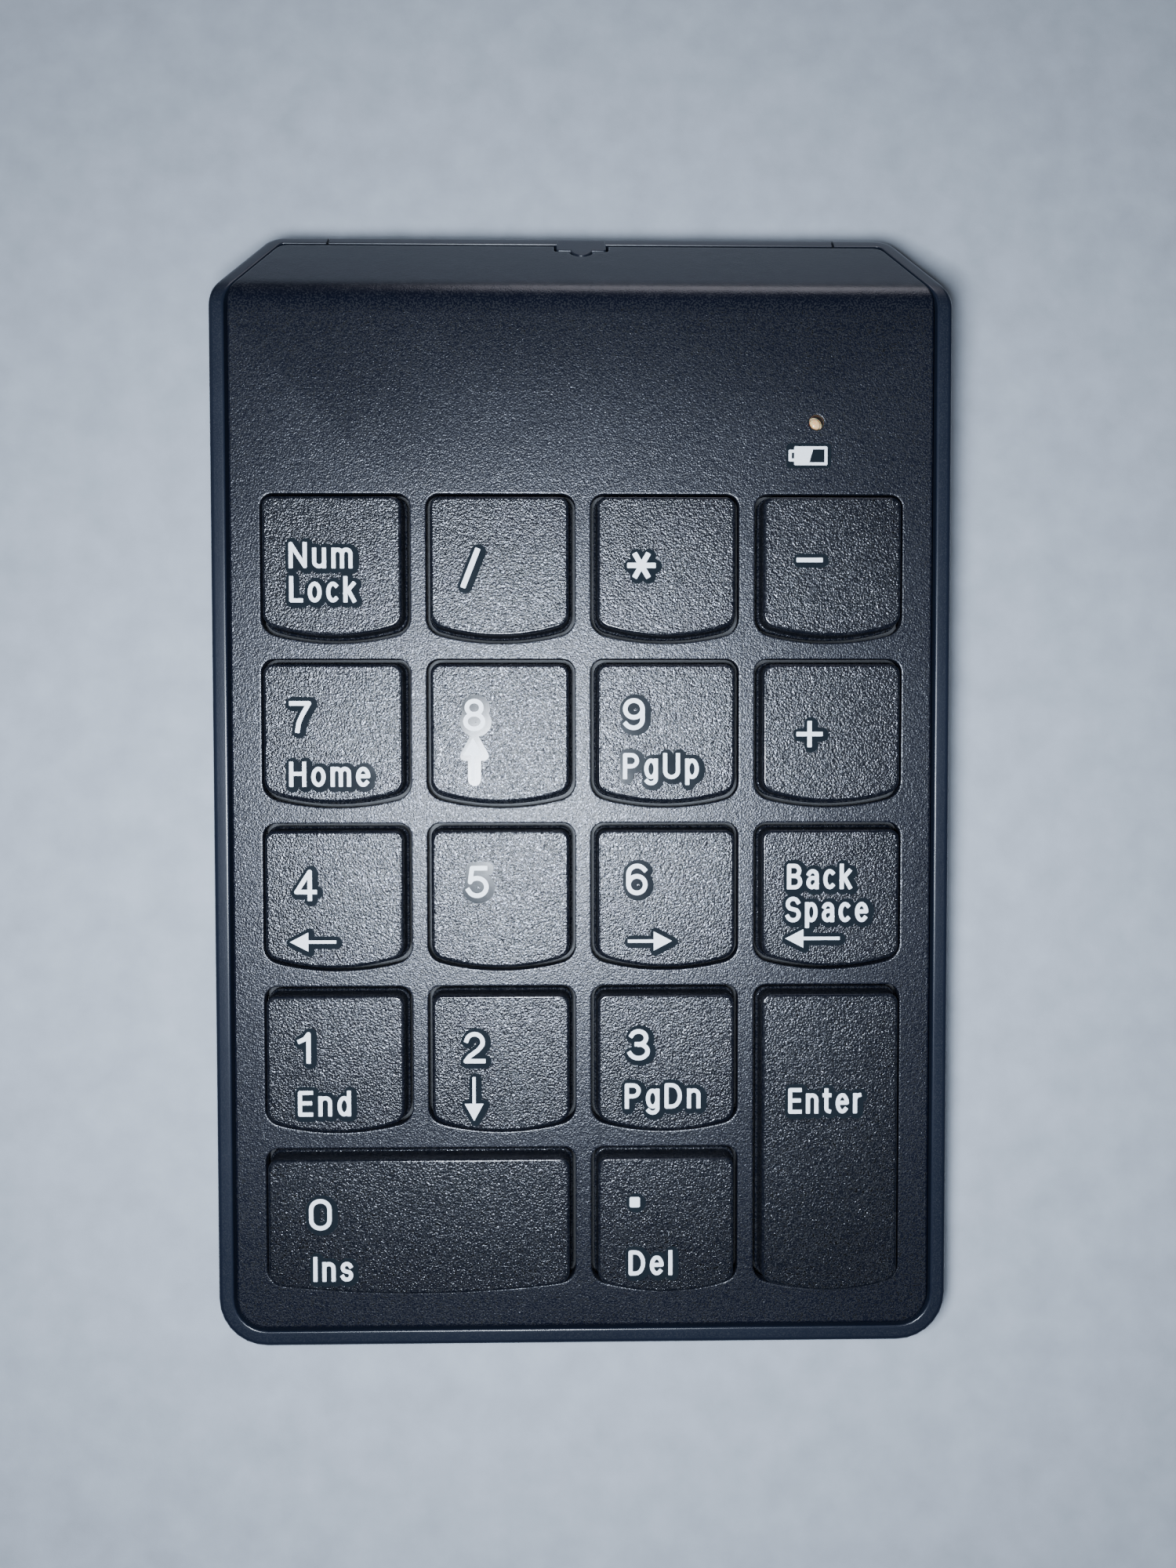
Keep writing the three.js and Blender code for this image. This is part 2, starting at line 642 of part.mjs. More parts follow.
function keyFrame() {
  const { halfWidth, front, rear, corner } = STACK;
  const plate = prism(rectangle(halfWidth, front, rear, corner), FRAME_BOTTOM, FRAME_TOP, 3);
  const sleeve = rod(0, 0, FRAME_TOP - 0.3, SLEEVE_TOP, SLEEVE_RADIUS, 8);
  const bore = rod(0, 0, FRAME_BOTTOM - 1, SLEEVE_TOP + 1, SLEEVE_BORE, 8);
  const stakes = STAKE_PLACES.map(({ x, y }) =>
    rod(x, y, BACK_PLATE_BOTTOM - 0.25, FRAME_BOTTOM + 0.3, STAKE_RADIUS, 6),
  );
  // pegs in line with the gaps between the rows hold the frame down from the cover
  const spacers = [-1, 1].flatMap((side) =>
    [-0.5, 0.5, 1.5].map((row) => {
      const x = side * (halfWidth - 0.7);
      return rod(x, row * KEY_PITCH, FRAME_TOP - 0.3, -COVER - 0.3, 0.6, 6);
    }),
  );
  let frame = joined(plate, ...KEYS.map((key) => placed(sleeve, key)), ...stakes, ...spacers);
  frame = cutBy(frame, ...KEYS.map((key) => placed(bore, key)));
  doubleKeys.forEach((key) => {
    frame = frame.subtract(placed(wireWindow(key), key));
    frame = joined(frame, ...wireLugs(key).map((lug) => placed(lug, key)));
  });
  return frame;
}

// ---- Mat, membrane and back plate -----------------------------------------------------------
function stackSheet(bottom, top) {
  const { halfWidth, front, rear, corner } = STACK;
  const sheet = prism(rectangle(halfWidth, front, rear, corner), bottom, top, 3);
  const holes = STAKE_PLACES.map(({ x, y }) => rod(x, y, bottom - 1, top + 1, STAKE_HOLE, 6));
  return cutBy(sheet, ...holes);
}

function domeMat() {
  const dome = turned(
    [
      [0, DOME_TOP],
      [1.8, DOME_TOP],
      [4.0, MAT_TOP + 0.05],
      [4.0, MAT_BOTTOM],
      [3.3, MAT_BOTTOM],
      [1.3, DOME_TOP - 0.8],
      [0, DOME_TOP - 0.8],
    ],
    6,
  );
  const well = rod(0, 0, MAT_BOTTOM - 1, MAT_TOP + 1, 3.8, 6);
  const sheet = cutBy(stackSheet(MAT_BOTTOM, MAT_TOP), ...KEYS.map((key) => placed(well, key)));
  return joined(sheet, ...KEYS.map((key) => placed(dome, key)));
}

function membrane() {
  const tail = box(
    [0, 12],
    [STACK.rear - 1, BOARD.front + 4],
    [MEMBRANE_BOTTOM, MEMBRANE_TOP],
  );
  return joined(stackSheet(MEMBRANE_BOTTOM, MEMBRANE_TOP), tail);
}

// ---- Electronics ----------------------------------------------------------------------------
function lightPipe() {
  const top = -0.9;
  return turned(
    [
      [0, -7.1],
      [0.9, -7.1],
      [0.9, -COVER - 1.1],
      [1.9, -COVER - 1.1],
      [1.9, -COVER - 0.3],
      [0.68, -COVER - 0.3],
      [0.68, top - 0.35],
      [0.42, top - 0.08],
      [0, top],
    ],
    10,
  );
}

function batteryCell() {
  const { radius, length } = CELL;
  const cell = turned(
    [
      [0, 0],
      [radius - 0.5, 0],
      [radius, 0.5],
      [radius, length - 0.5],
      [radius - 0.5, length],
      [2.7, length],
      [2.7, length + 1.0],
      [0, length + 1.0],
    ],
    18,
  );
  return solid(geometryOf(cell).rotateY(Math.PI / 2).translate(CELL.left, CELL.y, CELL.z));
}

// A contact's sheet: a plate across the bay's end and a tag through the front wall
function contactSheet(x) {
  const plate = box([x, x + 0.4], [CELL.y - 5, CELL.y + 5], [CELL.z - 4.5, CELL.z + 5]);
  const tag = box([x, x + 0.4], [BAY.front - BAY.wall - 0.9, CELL.y], [CELL.z + 2.8, CELL.z + 4.8]);
  return joined(plate, tag);
}

// The negative contact is the sheet with a cone of spring on it
function springContact() {
  const [x] = CONTACT_PLACES;
  const turns = 2.5;
  class Cone extends THREE.Curve {
    getPoint(t, target = new THREE.Vector3()) {
      const angle = turns * 2 * Math.PI * t;
      const radius = 4.2 - 2.2 * t;
      const along = x + 0.5 + t * (CELL.left - 0.8 - x - 0.5);
      const y = CELL.y + radius * Math.cos(angle);
      return target.set(along, y, CELL.z + radius * Math.sin(angle));
    }
  }
  const section = new THREE.Shape().absarc(0, 0, 0.4, 0, 2 * Math.PI);
  const coil = new THREE.ExtrudeGeometry(section, {
    steps: 24,
    curveSegments: 3,
    extrudePath: new Cone(),
  });
  return joined(contactSheet(x), solid(coil));
}

// A lead through a few points given in the case frame
function lead(points) {
  const path = new THREE.CatmullRomCurve3(points.map((p) => new THREE.Vector3(...p)));
  const section = new THREE.Shape().absarc(0, 0, 0.55, 0, 2 * Math.PI);
  const geometry = new THREE.ExtrudeGeometry(section, {
    steps: 14,
    curveSegments: 4,
    extrudePath: path,
  });
  return solid(geometry);
}

function caseScrew() {
  const { headRadius, headHeight, shankRadius, seat, tip } = SCREW;
  const top = seat - 0.05;
  const bottom = top - headHeight;
  const body = turned(
    [
      [0, bottom],
      [headRadius - 0.3, bottom],
      [headRadius, bottom + 0.4],
      [headRadius, top],
      [shankRadius, top],
      [shankRadius, tip - 0.8],
      [0, tip],
    ],
    10,
  );
  const slots = [
    box([-1.1, 1.1], [-0.22, 0.22], [bottom - 1, bottom + 0.7]),
    box([-0.22, 0.22], [-1.1, 1.1], [bottom - 1, bottom + 0.7]),
  ];
  return cutBy(body, ...slots);
}

// ---- Assembly -------------------------------------------------------------------------------
const keypad = new THREE.Group();
const caseGroup = new THREE.Group();
caseGroup.position.y = -CENTRE_Y;
keypad.add(caseGroup);
const deck = new THREE.Group();
deck.rotation.x = DECK_SLOPE;
deck.position.z = DECK_LEVEL;
caseGroup.add(deck);

caseGroup.add(named("top_cover", topCover(), finishes.cover));
caseGroup.add(named("bottom_case", bottomCase(), finishes.lowerCase));
caseGroup.add(named("battery_door", batteryDoor(), finishes.lowerCase));

KEYS.forEach((key) => {
  deck.add(named(key.name, keyCap(key), finishes.key, [key.x, key.y, 0]));
});
doubleKeys.forEach((key) => {
  const name = `stabilizer_${key.name.slice(4)}`;
  deck.add(named(name, stabilizerWire(key), finishes.steel, [key.x, key.y, 0]));
});

deck.add(named("key_frame", keyFrame(), finishes.frame));
deck.add(named("dome_mat", domeMat(), finishes.dome));
deck.add(named("membrane", membrane(), finishes.membrane));
deck.add(named("back_plate", stackSheet(BACK_PLATE_BOTTOM, BACK_PLATE_TOP), finishes.steel));

const boardBottom = BOARD.top - BOARD.thickness;
const boardSolid = box(
  [BOARD.left, BOARD.right],
  [BOARD.front, BOARD.rear],
  [boardBottom, BOARD.top],
);
const chipTop = BOARD.top + 1.15;
deck.add(named("circuit_board", boardSolid, finishes.board));
deck.add(
  named("controller_chip", box([16, 22], [50, 55], [BOARD.top + 0.05, chipTop]), finishes.chip),
);
deck.add(
  named("crystal", box([24, 27.2], [49, 51], [BOARD.top + 0.05, BOARD.top + 0.8]), finishes.steel),
);
deck.add(
  named("membrane_clamp", box([-1, 13], [48.6, 51.4], [MEMBRANE_TOP + 0.05, -6.4]), finishes.frame),
);
const lampBody = box(
  [LAMP.x - 0.8, LAMP.x + 0.8],
  [LAMP.y - 0.5, LAMP.y + 0.5],
  [BOARD.top + 0.05, BOARD.top + 0.7],
);
deck.add(named("indicator_led", lampBody, finishes.lamp));
deck.add(named("light_pipe", lightPipe(), finishes.lamp, [LAMP.x, LAMP.y, 0]));

caseGroup.add(named("battery", batteryCell(), finishes.cell));
caseGroup.add(named("battery_spring", springContact(), finishes.steel));
caseGroup.add(named("battery_contact", contactSheet(CONTACT_PLACES[1]), finishes.steel));

const boardPad = (x, y) => {
  const [padY, padZ] = inCase(y, BOARD.top + 0.7);
  return [x, padY, padZ];
};
const tagEnd = BAY.front - BAY.wall - 1.7;
const tagHeight = CELL.z + 3.8;
const blackLead = lead([
  [CONTACT_PLACES[0] + 0.2, tagEnd, tagHeight],
  [-26.5, tagEnd - 1.6, tagHeight - 1.2],
  [-17, 53, 9.5],
  [-9, 52.8, 12.2],
  boardPad(-4.2, 53),
]);
const redLead = lead([
  [CONTACT_PLACES[1] + 0.2, tagEnd, tagHeight],
  [31.2, tagEnd - 1.2, tagHeight + 0.6],
  [32.6, 52.6, 12.9],
  boardPad(33, 50.6),
]);
caseGroup.add(named("battery_lead_black", blackLead, finishes.leadBlack));
caseGroup.add(named("battery_lead_red", redLead, finishes.leadRed));

SCREW_PLACES.forEach(({ name, x, y }) => {
  caseGroup.add(named(name, caseScrew(), finishes.steel, [x, y, 0]));
});
FOOT_PLACES.forEach((place) => {
  const foot = prism(footPocket(place, 0), 0, FLOOR_BOTTOM + 0.55);
  caseGroup.add(named(place.name, foot, finishes.rubber));
});

export default keypad;
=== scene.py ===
"""A cordless numeric keypad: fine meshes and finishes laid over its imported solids.

Sizes in the classes are millimetres. "Case" places are x to the right, y from front to rear and z up
from the table; "deck" places are x, v up the sloping deck and w out of it.
"""

import json
import logging
import math
from dataclasses import dataclass
from enum import Enum
from typing import Callable, Iterable, Mapping, Sequence

import bmesh
import bpy
import numpy as np
from mathutils import Matrix, Vector
from mathutils.geometry import delaunay_2d_cdt


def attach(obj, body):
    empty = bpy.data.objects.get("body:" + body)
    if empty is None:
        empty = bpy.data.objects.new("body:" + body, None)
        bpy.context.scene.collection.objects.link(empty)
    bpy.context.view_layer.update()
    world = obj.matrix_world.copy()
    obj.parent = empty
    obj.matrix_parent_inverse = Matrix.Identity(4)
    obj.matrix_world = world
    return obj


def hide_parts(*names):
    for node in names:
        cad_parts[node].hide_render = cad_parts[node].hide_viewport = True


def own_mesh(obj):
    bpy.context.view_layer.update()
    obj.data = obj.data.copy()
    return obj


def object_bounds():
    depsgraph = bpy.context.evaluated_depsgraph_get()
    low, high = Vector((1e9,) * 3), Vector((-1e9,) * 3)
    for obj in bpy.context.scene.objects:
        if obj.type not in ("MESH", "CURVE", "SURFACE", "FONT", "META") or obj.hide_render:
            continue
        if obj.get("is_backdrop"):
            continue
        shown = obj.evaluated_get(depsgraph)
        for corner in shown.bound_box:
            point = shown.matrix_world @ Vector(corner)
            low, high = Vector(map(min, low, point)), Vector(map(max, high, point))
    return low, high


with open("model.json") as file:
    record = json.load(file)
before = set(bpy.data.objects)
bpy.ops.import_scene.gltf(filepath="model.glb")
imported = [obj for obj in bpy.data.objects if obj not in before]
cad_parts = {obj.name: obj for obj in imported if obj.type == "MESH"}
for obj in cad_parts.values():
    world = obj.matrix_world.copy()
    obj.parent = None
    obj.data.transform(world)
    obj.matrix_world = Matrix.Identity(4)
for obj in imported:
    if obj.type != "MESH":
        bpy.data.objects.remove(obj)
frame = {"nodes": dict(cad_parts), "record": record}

CAD_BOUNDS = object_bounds()
LOG = logging.getLogger("keypad")
MM = 0.001
KEY_PITCH = 19.05
KEY_TOP = 2.15
KEY_TRAVEL = 2.0

Places = np.ndarray
Corner = tuple[float, float, float]
Colour = tuple[float, float, float]
Strokes = list[list[tuple[float, float]]]
Piece = bpy.types.Object
Node = bpy.types.Node
Socket = bpy.types.NodeSocket


# ---- The case's form ------------------------------------------------------------------------


@dataclass(frozen=True)
class CaseForm:
    """The driving sizes of the wedge-shaped case and the line of its top."""

    slope: float = math.radians(4.9)
    front_height: float = 9.6
    front_edge: float = -53.0
    ridge_start: float = 67.8
    ridge_radius: float = 5.0
    rear_slope: float = math.radians(46.0)
    rear_length: float = 12.2
    width: float = 85.8
    rear_width: float = 75.6
    corner_start: float = 69.8
    underside: float = 0.6
    floor: float = 1.8
    rim: float = 1.8
    groove: float = 0.4
    cover: float = 1.6

    @property
    def level(self) -> float:
        """Height of the deck at the middle of the key block."""
        return self.front_height - self.front_edge * math.sin(self.slope)

    def case_yz(self, v: float, w: float) -> tuple[float, float]:
        """A deck place as (y, z) of the case."""
        c, s = math.cos(self.slope), math.sin(self.slope)
        return v * c - w * s, self.level + v * s + w * c

    @property
    def front_y(self) -> float:
        """The case's front edge."""
        return self.case_yz(self.front_edge, 0)[0]

    @property
    def climb(self) -> float:
        """Angle of the rear face from the table."""
        return self.rear_slope - self.slope

    @property
    def slope_end(self) -> tuple[float, float]:
        """(y, z) of the rear face's lower edge.

        Returns:
            The place on the case.
        """
        v = self.ridge_start + self.ridge_radius * math.sin(self.rear_slope)
        w = -self.ridge_radius * (1 - math.cos(self.rear_slope))
        v += self.rear_length * math.cos(self.rear_slope)
        w -= self.rear_length * math.sin(self.rear_slope)
        return self.case_yz(v, w)

    @property
    def rear_y(self) -> float:
        """The case's rear edge."""
        return self.slope_end[0]

    @property
    def centre_y(self) -> float:
        """The middle of the footprint, which is the frame's origin."""
        return (self.front_y + self.rear_y) / 2

    def height(self, y: Places, depth: float = 0.0) -> Places:
        """Height of the top surface, or of the surface parallel to it at a depth.

        Args:
            y: case places along the length.
            depth: distance under the top surface.

        Returns:
            The heights, in the same shape as y.
        """
        y = np.asarray(y, float)
        c, s = math.cos(self.slope), math.sin(self.slope)
        v = (y - depth * s) / c
        deck = self.level + v * s - depth * c
        mid_y, mid_z = self.case_yz(self.ridge_start, -self.ridge_radius)
        radius = self.ridge_radius - depth
        run = np.clip(y - mid_y, -radius, radius)
        arc = mid_z + np.sqrt(np.maximum(radius**2 - run**2, 0))
        turn_y = mid_y + radius * math.sin(self.climb)
        turn_z = mid_z + radius * math.cos(self.climb)
        fall = turn_z - (y - turn_y) * math.tan(self.climb)
        start_y = mid_y - radius * s
        return np.where(y < start_y, deck, np.where(y < turn_y, arc, fall))

    def shrink(self, y: Places) -> Places:
        """How much of a distance along the top surface is left in plan, along y.

        Args:
            y: case places along the length.

        Returns:
            A share for each, 1 on the deck.
        """
        mid_y, _ = self.case_yz(self.ridge_start, -self.ridge_radius)
        angle = np.arcsin(np.clip((np.asarray(y) - mid_y) / self.ridge_radius, 0, math.sin(self.climb)))
        return np.cos(angle)


FORM = CaseForm()


def metres(case: Places) -> Places:
    """Case millimetres as metres of the row frame."""
    return (np.asarray(case, float) - (0, FORM.centre_y, 0)) * MM


def deck_place(x: float, v: float, w: float) -> Vector:
    """A deck place as metres of the row frame."""
    return Vector(metres((x, *FORM.case_yz(v, w))))


def deck_places(flat: Places, w: float | Places) -> Places:
    """Deck outline points (x, v) at a height w, as case places.

    Args:
        flat: the points.
        w: their height, one or one for each.

    Returns:
        The case places.
    """
    c, s = math.cos(FORM.slope), math.sin(FORM.slope)
    x, v = flat[:, 0], flat[:, 1]
    w = np.broadcast_to(w, x.shape)
    return np.stack([x, v * c - w * s, FORM.level + v * s + w * c], axis=1)


# ---- Outlines -------------------------------------------------------------------------------


def rounded(
    corners: Sequence[Corner], steps: int = 8, splits: Mapping[int, Sequence[float]] | None = None
) -> Places:
    """A closed outline with a true arc at each corner.

    Args:
        corners: (x, y, radius) of each corner, anticlockwise; a radius of 0 stays sharp.
        steps: pieces in each arc.
        splits: extra points on the side after a corner, as shares of its straight length.

    Returns:
        The outline's points.
    """
    splits = splits or {}
    arcs: list[list[Vector]] = []
    for i, (x, y, radius) in enumerate(corners):
        here = Vector((x, y))
        before = (Vector(corners[i - 1][:2]) - here).normalized()
        after = (Vector(corners[(i + 1) % len(corners)][:2]) - here).normalized()
        if radius <= 0:
            arcs.append([here])
            continue
        half = before.angle(after) / 2
        centre = here + (before + after).normalized() * (radius / math.sin(half))
        start = here + before * (radius / math.tan(half)) - centre
        end = here + after * (radius / math.tan(half)) - centre
        turn = start.angle_signed(end)
        arcs.append([centre + Matrix.Rotation(-turn * k / steps, 2) @ start for k in range(steps + 1)])
    points: list[Vector] = []
    for i, arc in enumerate(arcs):
        points.extend(arc)
        nearest = arcs[(i + 1) % len(arcs)][0]
        points.extend(arc[-1].lerp(nearest, share) for share in splits.get(i, ()))
    return np.array([tuple(p) for p in points])


def circle(radius: float, sides: int, x: float = 0.0, y: float = 0.0) -> Places:
    """A regular outline round a place, anticlockwise."""
    turns = np.linspace(0, 2 * math.pi, sides, endpoint=False)
    return np.stack([x + radius * np.cos(turns), y + radius * np.sin(turns)], axis=1)


def at_height(outline: Places, z: float | Places) -> Places:
    """An outline in plan at a height, as case places."""
    return np.column_stack([outline, np.broadcast_to(z, len(outline))])


def quarter(radius: float, steps: int, first: int = 0) -> list[tuple[float, float]]:
    """Steps round a rounded edge, each as (inward, distance under its top)."""
    turns = [math.radians(90 * k / steps) for k in range(first, steps + 1)]
    return [(radius * (1 - math.cos(t)), radius * (1 - math.sin(t))) for t in turns]


def moved_in(outline: Places, inward: float, shrink: Callable[[Places], Places] | None = None) -> Places:
    """An anticlockwise outline moved inwards, point for point.

    Args:
        outline: the points.
        inward: distance to move; negative moves outwards.
        shrink: share of a y distance that is left in plan at each y, on a sloping surface.

    Returns:
        The moved points.
    """
    ahead = np.roll(outline, -1, axis=0) - outline
    ahead /= np.linalg.norm(ahead, axis=1, keepdims=True)
    normal = np.stack([-ahead[:, 1], ahead[:, 0]], axis=1)
    both = normal + np.roll(normal, 1, axis=0)
    both /= np.linalg.norm(both, axis=1, keepdims=True)
    reach = inward / np.maximum(np.sum(both * normal, axis=1), 0.5)
    shift = both * reach[:, None]
    if shrink is not None:
        shift[:, 1] *= shrink(outline[:, 1])
    return outline + shift


def case_outline(inset: float = 0.0, notch: "LatchForm | None" = None) -> Places:
    """The case's plan, anticlockwise from the front right corner.

    Args:
        inset: distance in from the case's edge, along the surface.
        notch: the latch that the rear edge makes room for.

    Returns:
        The outline's points in plan.
    """
    half = FORM.width / 2
    corner_y, _ = FORM.case_yz(FORM.corner_start, 0)
    run = FORM.rear_y - corner_y
    step = (FORM.width - FORM.rear_width) / 2
    slant = inset * math.hypot(run * 0.8, step) / run
    rear = FORM.rear_y - inset * math.cos(FORM.climb)
    front = FORM.front_y + inset

    def slant_x(y: float) -> float:
        """X of the cut-off rear corner at a y."""
        return half - slant - (y - corner_y) * step / run

    meet = corner_y - (slant - inset) * run / step
    right: list[Corner] = [
        (half - inset, front, 5.7 - inset),
        (half - inset, meet, 7 - inset),
        (slant_x(rear), rear, 2.6 - inset / 2),
    ]
    middle = notch.gap_corners(rear) if notch else []
    left = [(-x, y, r) for x, y, r in reversed(right)]
    corners = [*right, *middle, *left]
    side = [*np.linspace(0.08, 0.88, 9), 0.94, 0.97, 0.985]
    slanted = list(np.linspace(0.08, 0.92, 11))
    last = len(corners) - 1
    splits = {0: side, 1: slanted, last - 1: [1 - t for t in reversed(side)], last: [0.25, 0.5, 0.75]}
    splits[last - 2] = [1 - t for t in reversed(slanted)]
    return rounded(corners, 7, splits)


# ---- Skins: closed meshes gathered ring by ring -----------------------------------------------


def inside(a: Places, b: Places, points: Places) -> Places:
    """Whether each point lies inside the closed loops whose edges run from a to b.

    Args:
        a: the edges' first ends.
        b: the edges' second ends.
        points: the points to test.

    Returns:
        A truth for each point.
    """
    x, y = points[:, 0, None], points[:, 1, None]
    spans = (a[None, :, 1] > y) != (b[None, :, 1] > y)
    rise = np.where(b[:, 1] == a[:, 1], 1e-12, b[:, 1] - a[:, 1])
    cross = a[None, :, 0] + (y - a[None, :, 1]) * ((b[:, 0] - a[:, 0]) / rise)[None, :]
    return np.sum(spans & (x < cross), axis=1) % 2 == 1


def linked(name: str, data: bpy.types.ID) -> Piece:
    """An object of a mesh, light or camera, at the origin, in the scene.

    Args:
        name: the object's name.
        data: what it shows.

    Returns:
        The object.
    """
    made = bpy.data.objects.new(name, data)
    bpy.context.scene.collection.objects.link(made)
    return made


class Skin:
    """A closed skin gathered ring by ring, with a mask along its rounded edges."""

    def __init__(self) -> None:
        """Starts an empty skin."""
        self.points: list[tuple[float, float, float]] = []
        self.edge: list[float] = []
        self.faces: list[tuple[int, ...]] = []

    def ring(self, places: Places, edge: float | Places = 0.0) -> range:
        """Adds a ring of case places, with one mask value or one for each, and returns its indices.

        Args:
            places: the ring's points.
            edge: mask, one or one for each.

        Returns:
            The indices of its points.
        """
        first = len(self.points)
        self.points.extend(tuple(p) for p in np.asarray(places, float))
        self.edge.extend(float(mask) for mask in np.broadcast_to(edge, len(places)))
        return range(first, len(self.points))

    def band(self, low: range, high: range) -> None:
        """Sews two rings of the same count together with quads.

        Args:
            low: one ring.
            high: the ring after it.
        """
        count = len(low)
        for i in range(count):
            j = (i + 1) % count
            self.faces.append((low[i], low[j], high[j], high[i]))

    def bands(self, rings: Sequence[range]) -> None:
        """Sews a run of rings together."""
        for low, high in zip(rings, rings[1:]):
            self.band(low, high)

    def cap(self, ring: range) -> None:
        """Closes a flat ring with one face."""
        self.faces.append(tuple(ring))

    def sheet(self, outer: range, holes: Sequence[range] = (), ties: Sequence[tuple[int, int]] = ()) -> None:
        """Fills between an outer ring and its holes with triangles laid out in plan.

        Args:
            outer: the outer ring.
            holes: rings left open.
            ties: pairs of points that an edge must join, such as across a bend.
        """
        loops = [outer, *holes]
        ids = [i for loop in loops for i in loop]
        rank = {i: n for n, i in enumerate(ids)}
        flat = np.array([self.points[i][:2] for i in ids])
        sides = [(rank[loop[k]], rank[loop[(k + 1) % len(loop)]]) for loop in loops for k in range(len(loop))]
        edges = sides + [(rank[a], rank[b]) for a, b in ties]
        spots, _, triangles, origins = delaunay_2d_cdt([Vector(p) for p in flat], edges, [], 0, 1e-7)[:4]
        middles = np.array([sum((spots[i] for i in t), Vector((0, 0))) / len(t) for t in triangles])
        ends = np.array(sides)
        kept = inside(flat[ends[:, 0]], flat[ends[:, 1]], middles)
        for triangle, keep in zip(triangles, kept):
            if keep:
                self.faces.append(tuple(ids[origins[i][0]] for i in triangle))

    def closed(self, name: str, rings: Sequence[range]) -> Piece:
        """Sews rings into a closed piece with a flat cap at each end, and builds it.

        Args:
            name: the object's name.
            rings: the rings from one end to the other.

        Returns:
            The object, at the origin.
        """
        self.bands(rings)
        self.cap(rings[0])
        self.cap(rings[-1])
        return self.build(name)

    def build(self, name: str) -> Piece:
        """Makes the closed mesh, facing outwards, in metres.

        Args:
            name: the object's name.

        Returns:
            The object, at the origin.
        """
        mesh = bpy.data.meshes.new(name)
        mesh.from_pydata([tuple(p) for p in metres(self.points)], [], self.faces)
        mask = mesh.attributes.new("edge", "FLOAT", "POINT")
        mask.data.foreach_set("value", self.edge)
        face_outwards(mesh)
        smooth(mesh)
        return linked(name, mesh)


def face_outwards(mesh: bpy.types.Mesh) -> None:
    """Turns every face of a closed mesh outwards.

    Args:
        mesh: the mesh, changed in place.
    """
    pen = bmesh.new()
    pen.from_mesh(mesh)
    bmesh.ops.recalc_face_normals(pen, faces=pen.faces)
    if pen.calc_volume(signed=True) < 0:
        bmesh.ops.reverse_faces(pen, faces=pen.faces)
    pen.to_mesh(mesh)
    pen.free()


def smooth(mesh: bpy.types.Mesh, angle: float = 38.0) -> None:
    """Shades a mesh smooth up to an angle, in degrees."""
    mesh.polygons.foreach_set("use_smooth", [True] * len(mesh.polygons))
    mesh.set_sharp_from_angle(angle=math.radians(angle))


def prism(name: str, outline: Places, z0: float, z1: float, bevel: float = 0.0) -> Piece:
    """An upright block on a plan outline, with its top edge rounded by a bevel.

    Args:
        name: the object's name.
        outline: its plan.
        z0: its underside.
        z1: its top.
        bevel: radius of the top edge.

    Returns:
        The block.
    """
    skin = Skin()
    rings = [skin.ring(at_height(outline, z0))]
    for inward, drop in quarter(bevel, 3) if bevel else [(0.0, 0.0)]:
        rings.append(skin.ring(at_height(moved_in(outline, inward), z1 - drop), 1.0))
    return skin.closed(name, rings)


def box(x: Sequence[float], y: Sequence[float], z: Sequence[float]) -> Piece:
    """A plain block between two places on each axis, used as a tool or a rib."""
    corners = [(x[1], y[0], 0.0), (x[1], y[1], 0.0), (x[0], y[1], 0.0), (x[0], y[0], 0.0)]
    return prism("block", rounded(corners), z[0], z[1])


def drum(x: float, y: float, z: Sequence[float], radius: float, sides: int = 40) -> Piece:
    """An upright cylinder, used as a tool or a post."""
    return prism("drum", circle(radius, sides, x, y), z[0], z[1])


def side_block(profile: Sequence[tuple[float, float]], x0: float, x1: float) -> Piece:
    """A block with a (y, z) profile, between two places along X.

    Args:
        profile: its outline.
        x0: its left end.
        x1: its right end.

    Returns:
        The block.
    """
    skin = Skin()
    rings = [skin.ring(np.array([(x, y, z) for y, z in profile])) for x in (x0, x1)]
    return skin.closed("side_block", rings)


class Carving(Enum):
    """What a tool does to the piece it meets."""

    CUT = "DIFFERENCE"
    JOIN = "UNION"
    KEEP = "INTERSECT"


def carve(piece: Piece, how: Carving, tools: Iterable[Piece]) -> None:
    """Cuts, joins or trims a piece by tools, which are used up.

    Args:
        piece: the piece, whose mesh is replaced.
        how: what each tool does.
        tools: the tools, in turn.
    """
    for tool in tools:
        step = piece.modifiers.new("carve", "BOOLEAN")
        step.operation = how.value
        step.solver = "EXACT"
        step.object = tool
        baked = bpy.data.meshes.new_from_object(piece.evaluated_get(bpy.context.evaluated_depsgraph_get()))
        piece.modifiers.clear()
        spent, piece.data = piece.data, baked
        bpy.data.meshes.remove(spent)
        bpy.data.objects.remove(tool)
    pen = bmesh.new()
    pen.from_mesh(piece.data)
    bmesh.ops.remove_doubles(pen, verts=pen.verts, dist=2e-7)
    bmesh.ops.dissolve_degenerate(pen, edges=pen.edges, dist=2e-7)
    pen.to_mesh(piece.data)
    pen.free()
    smooth(piece.data)


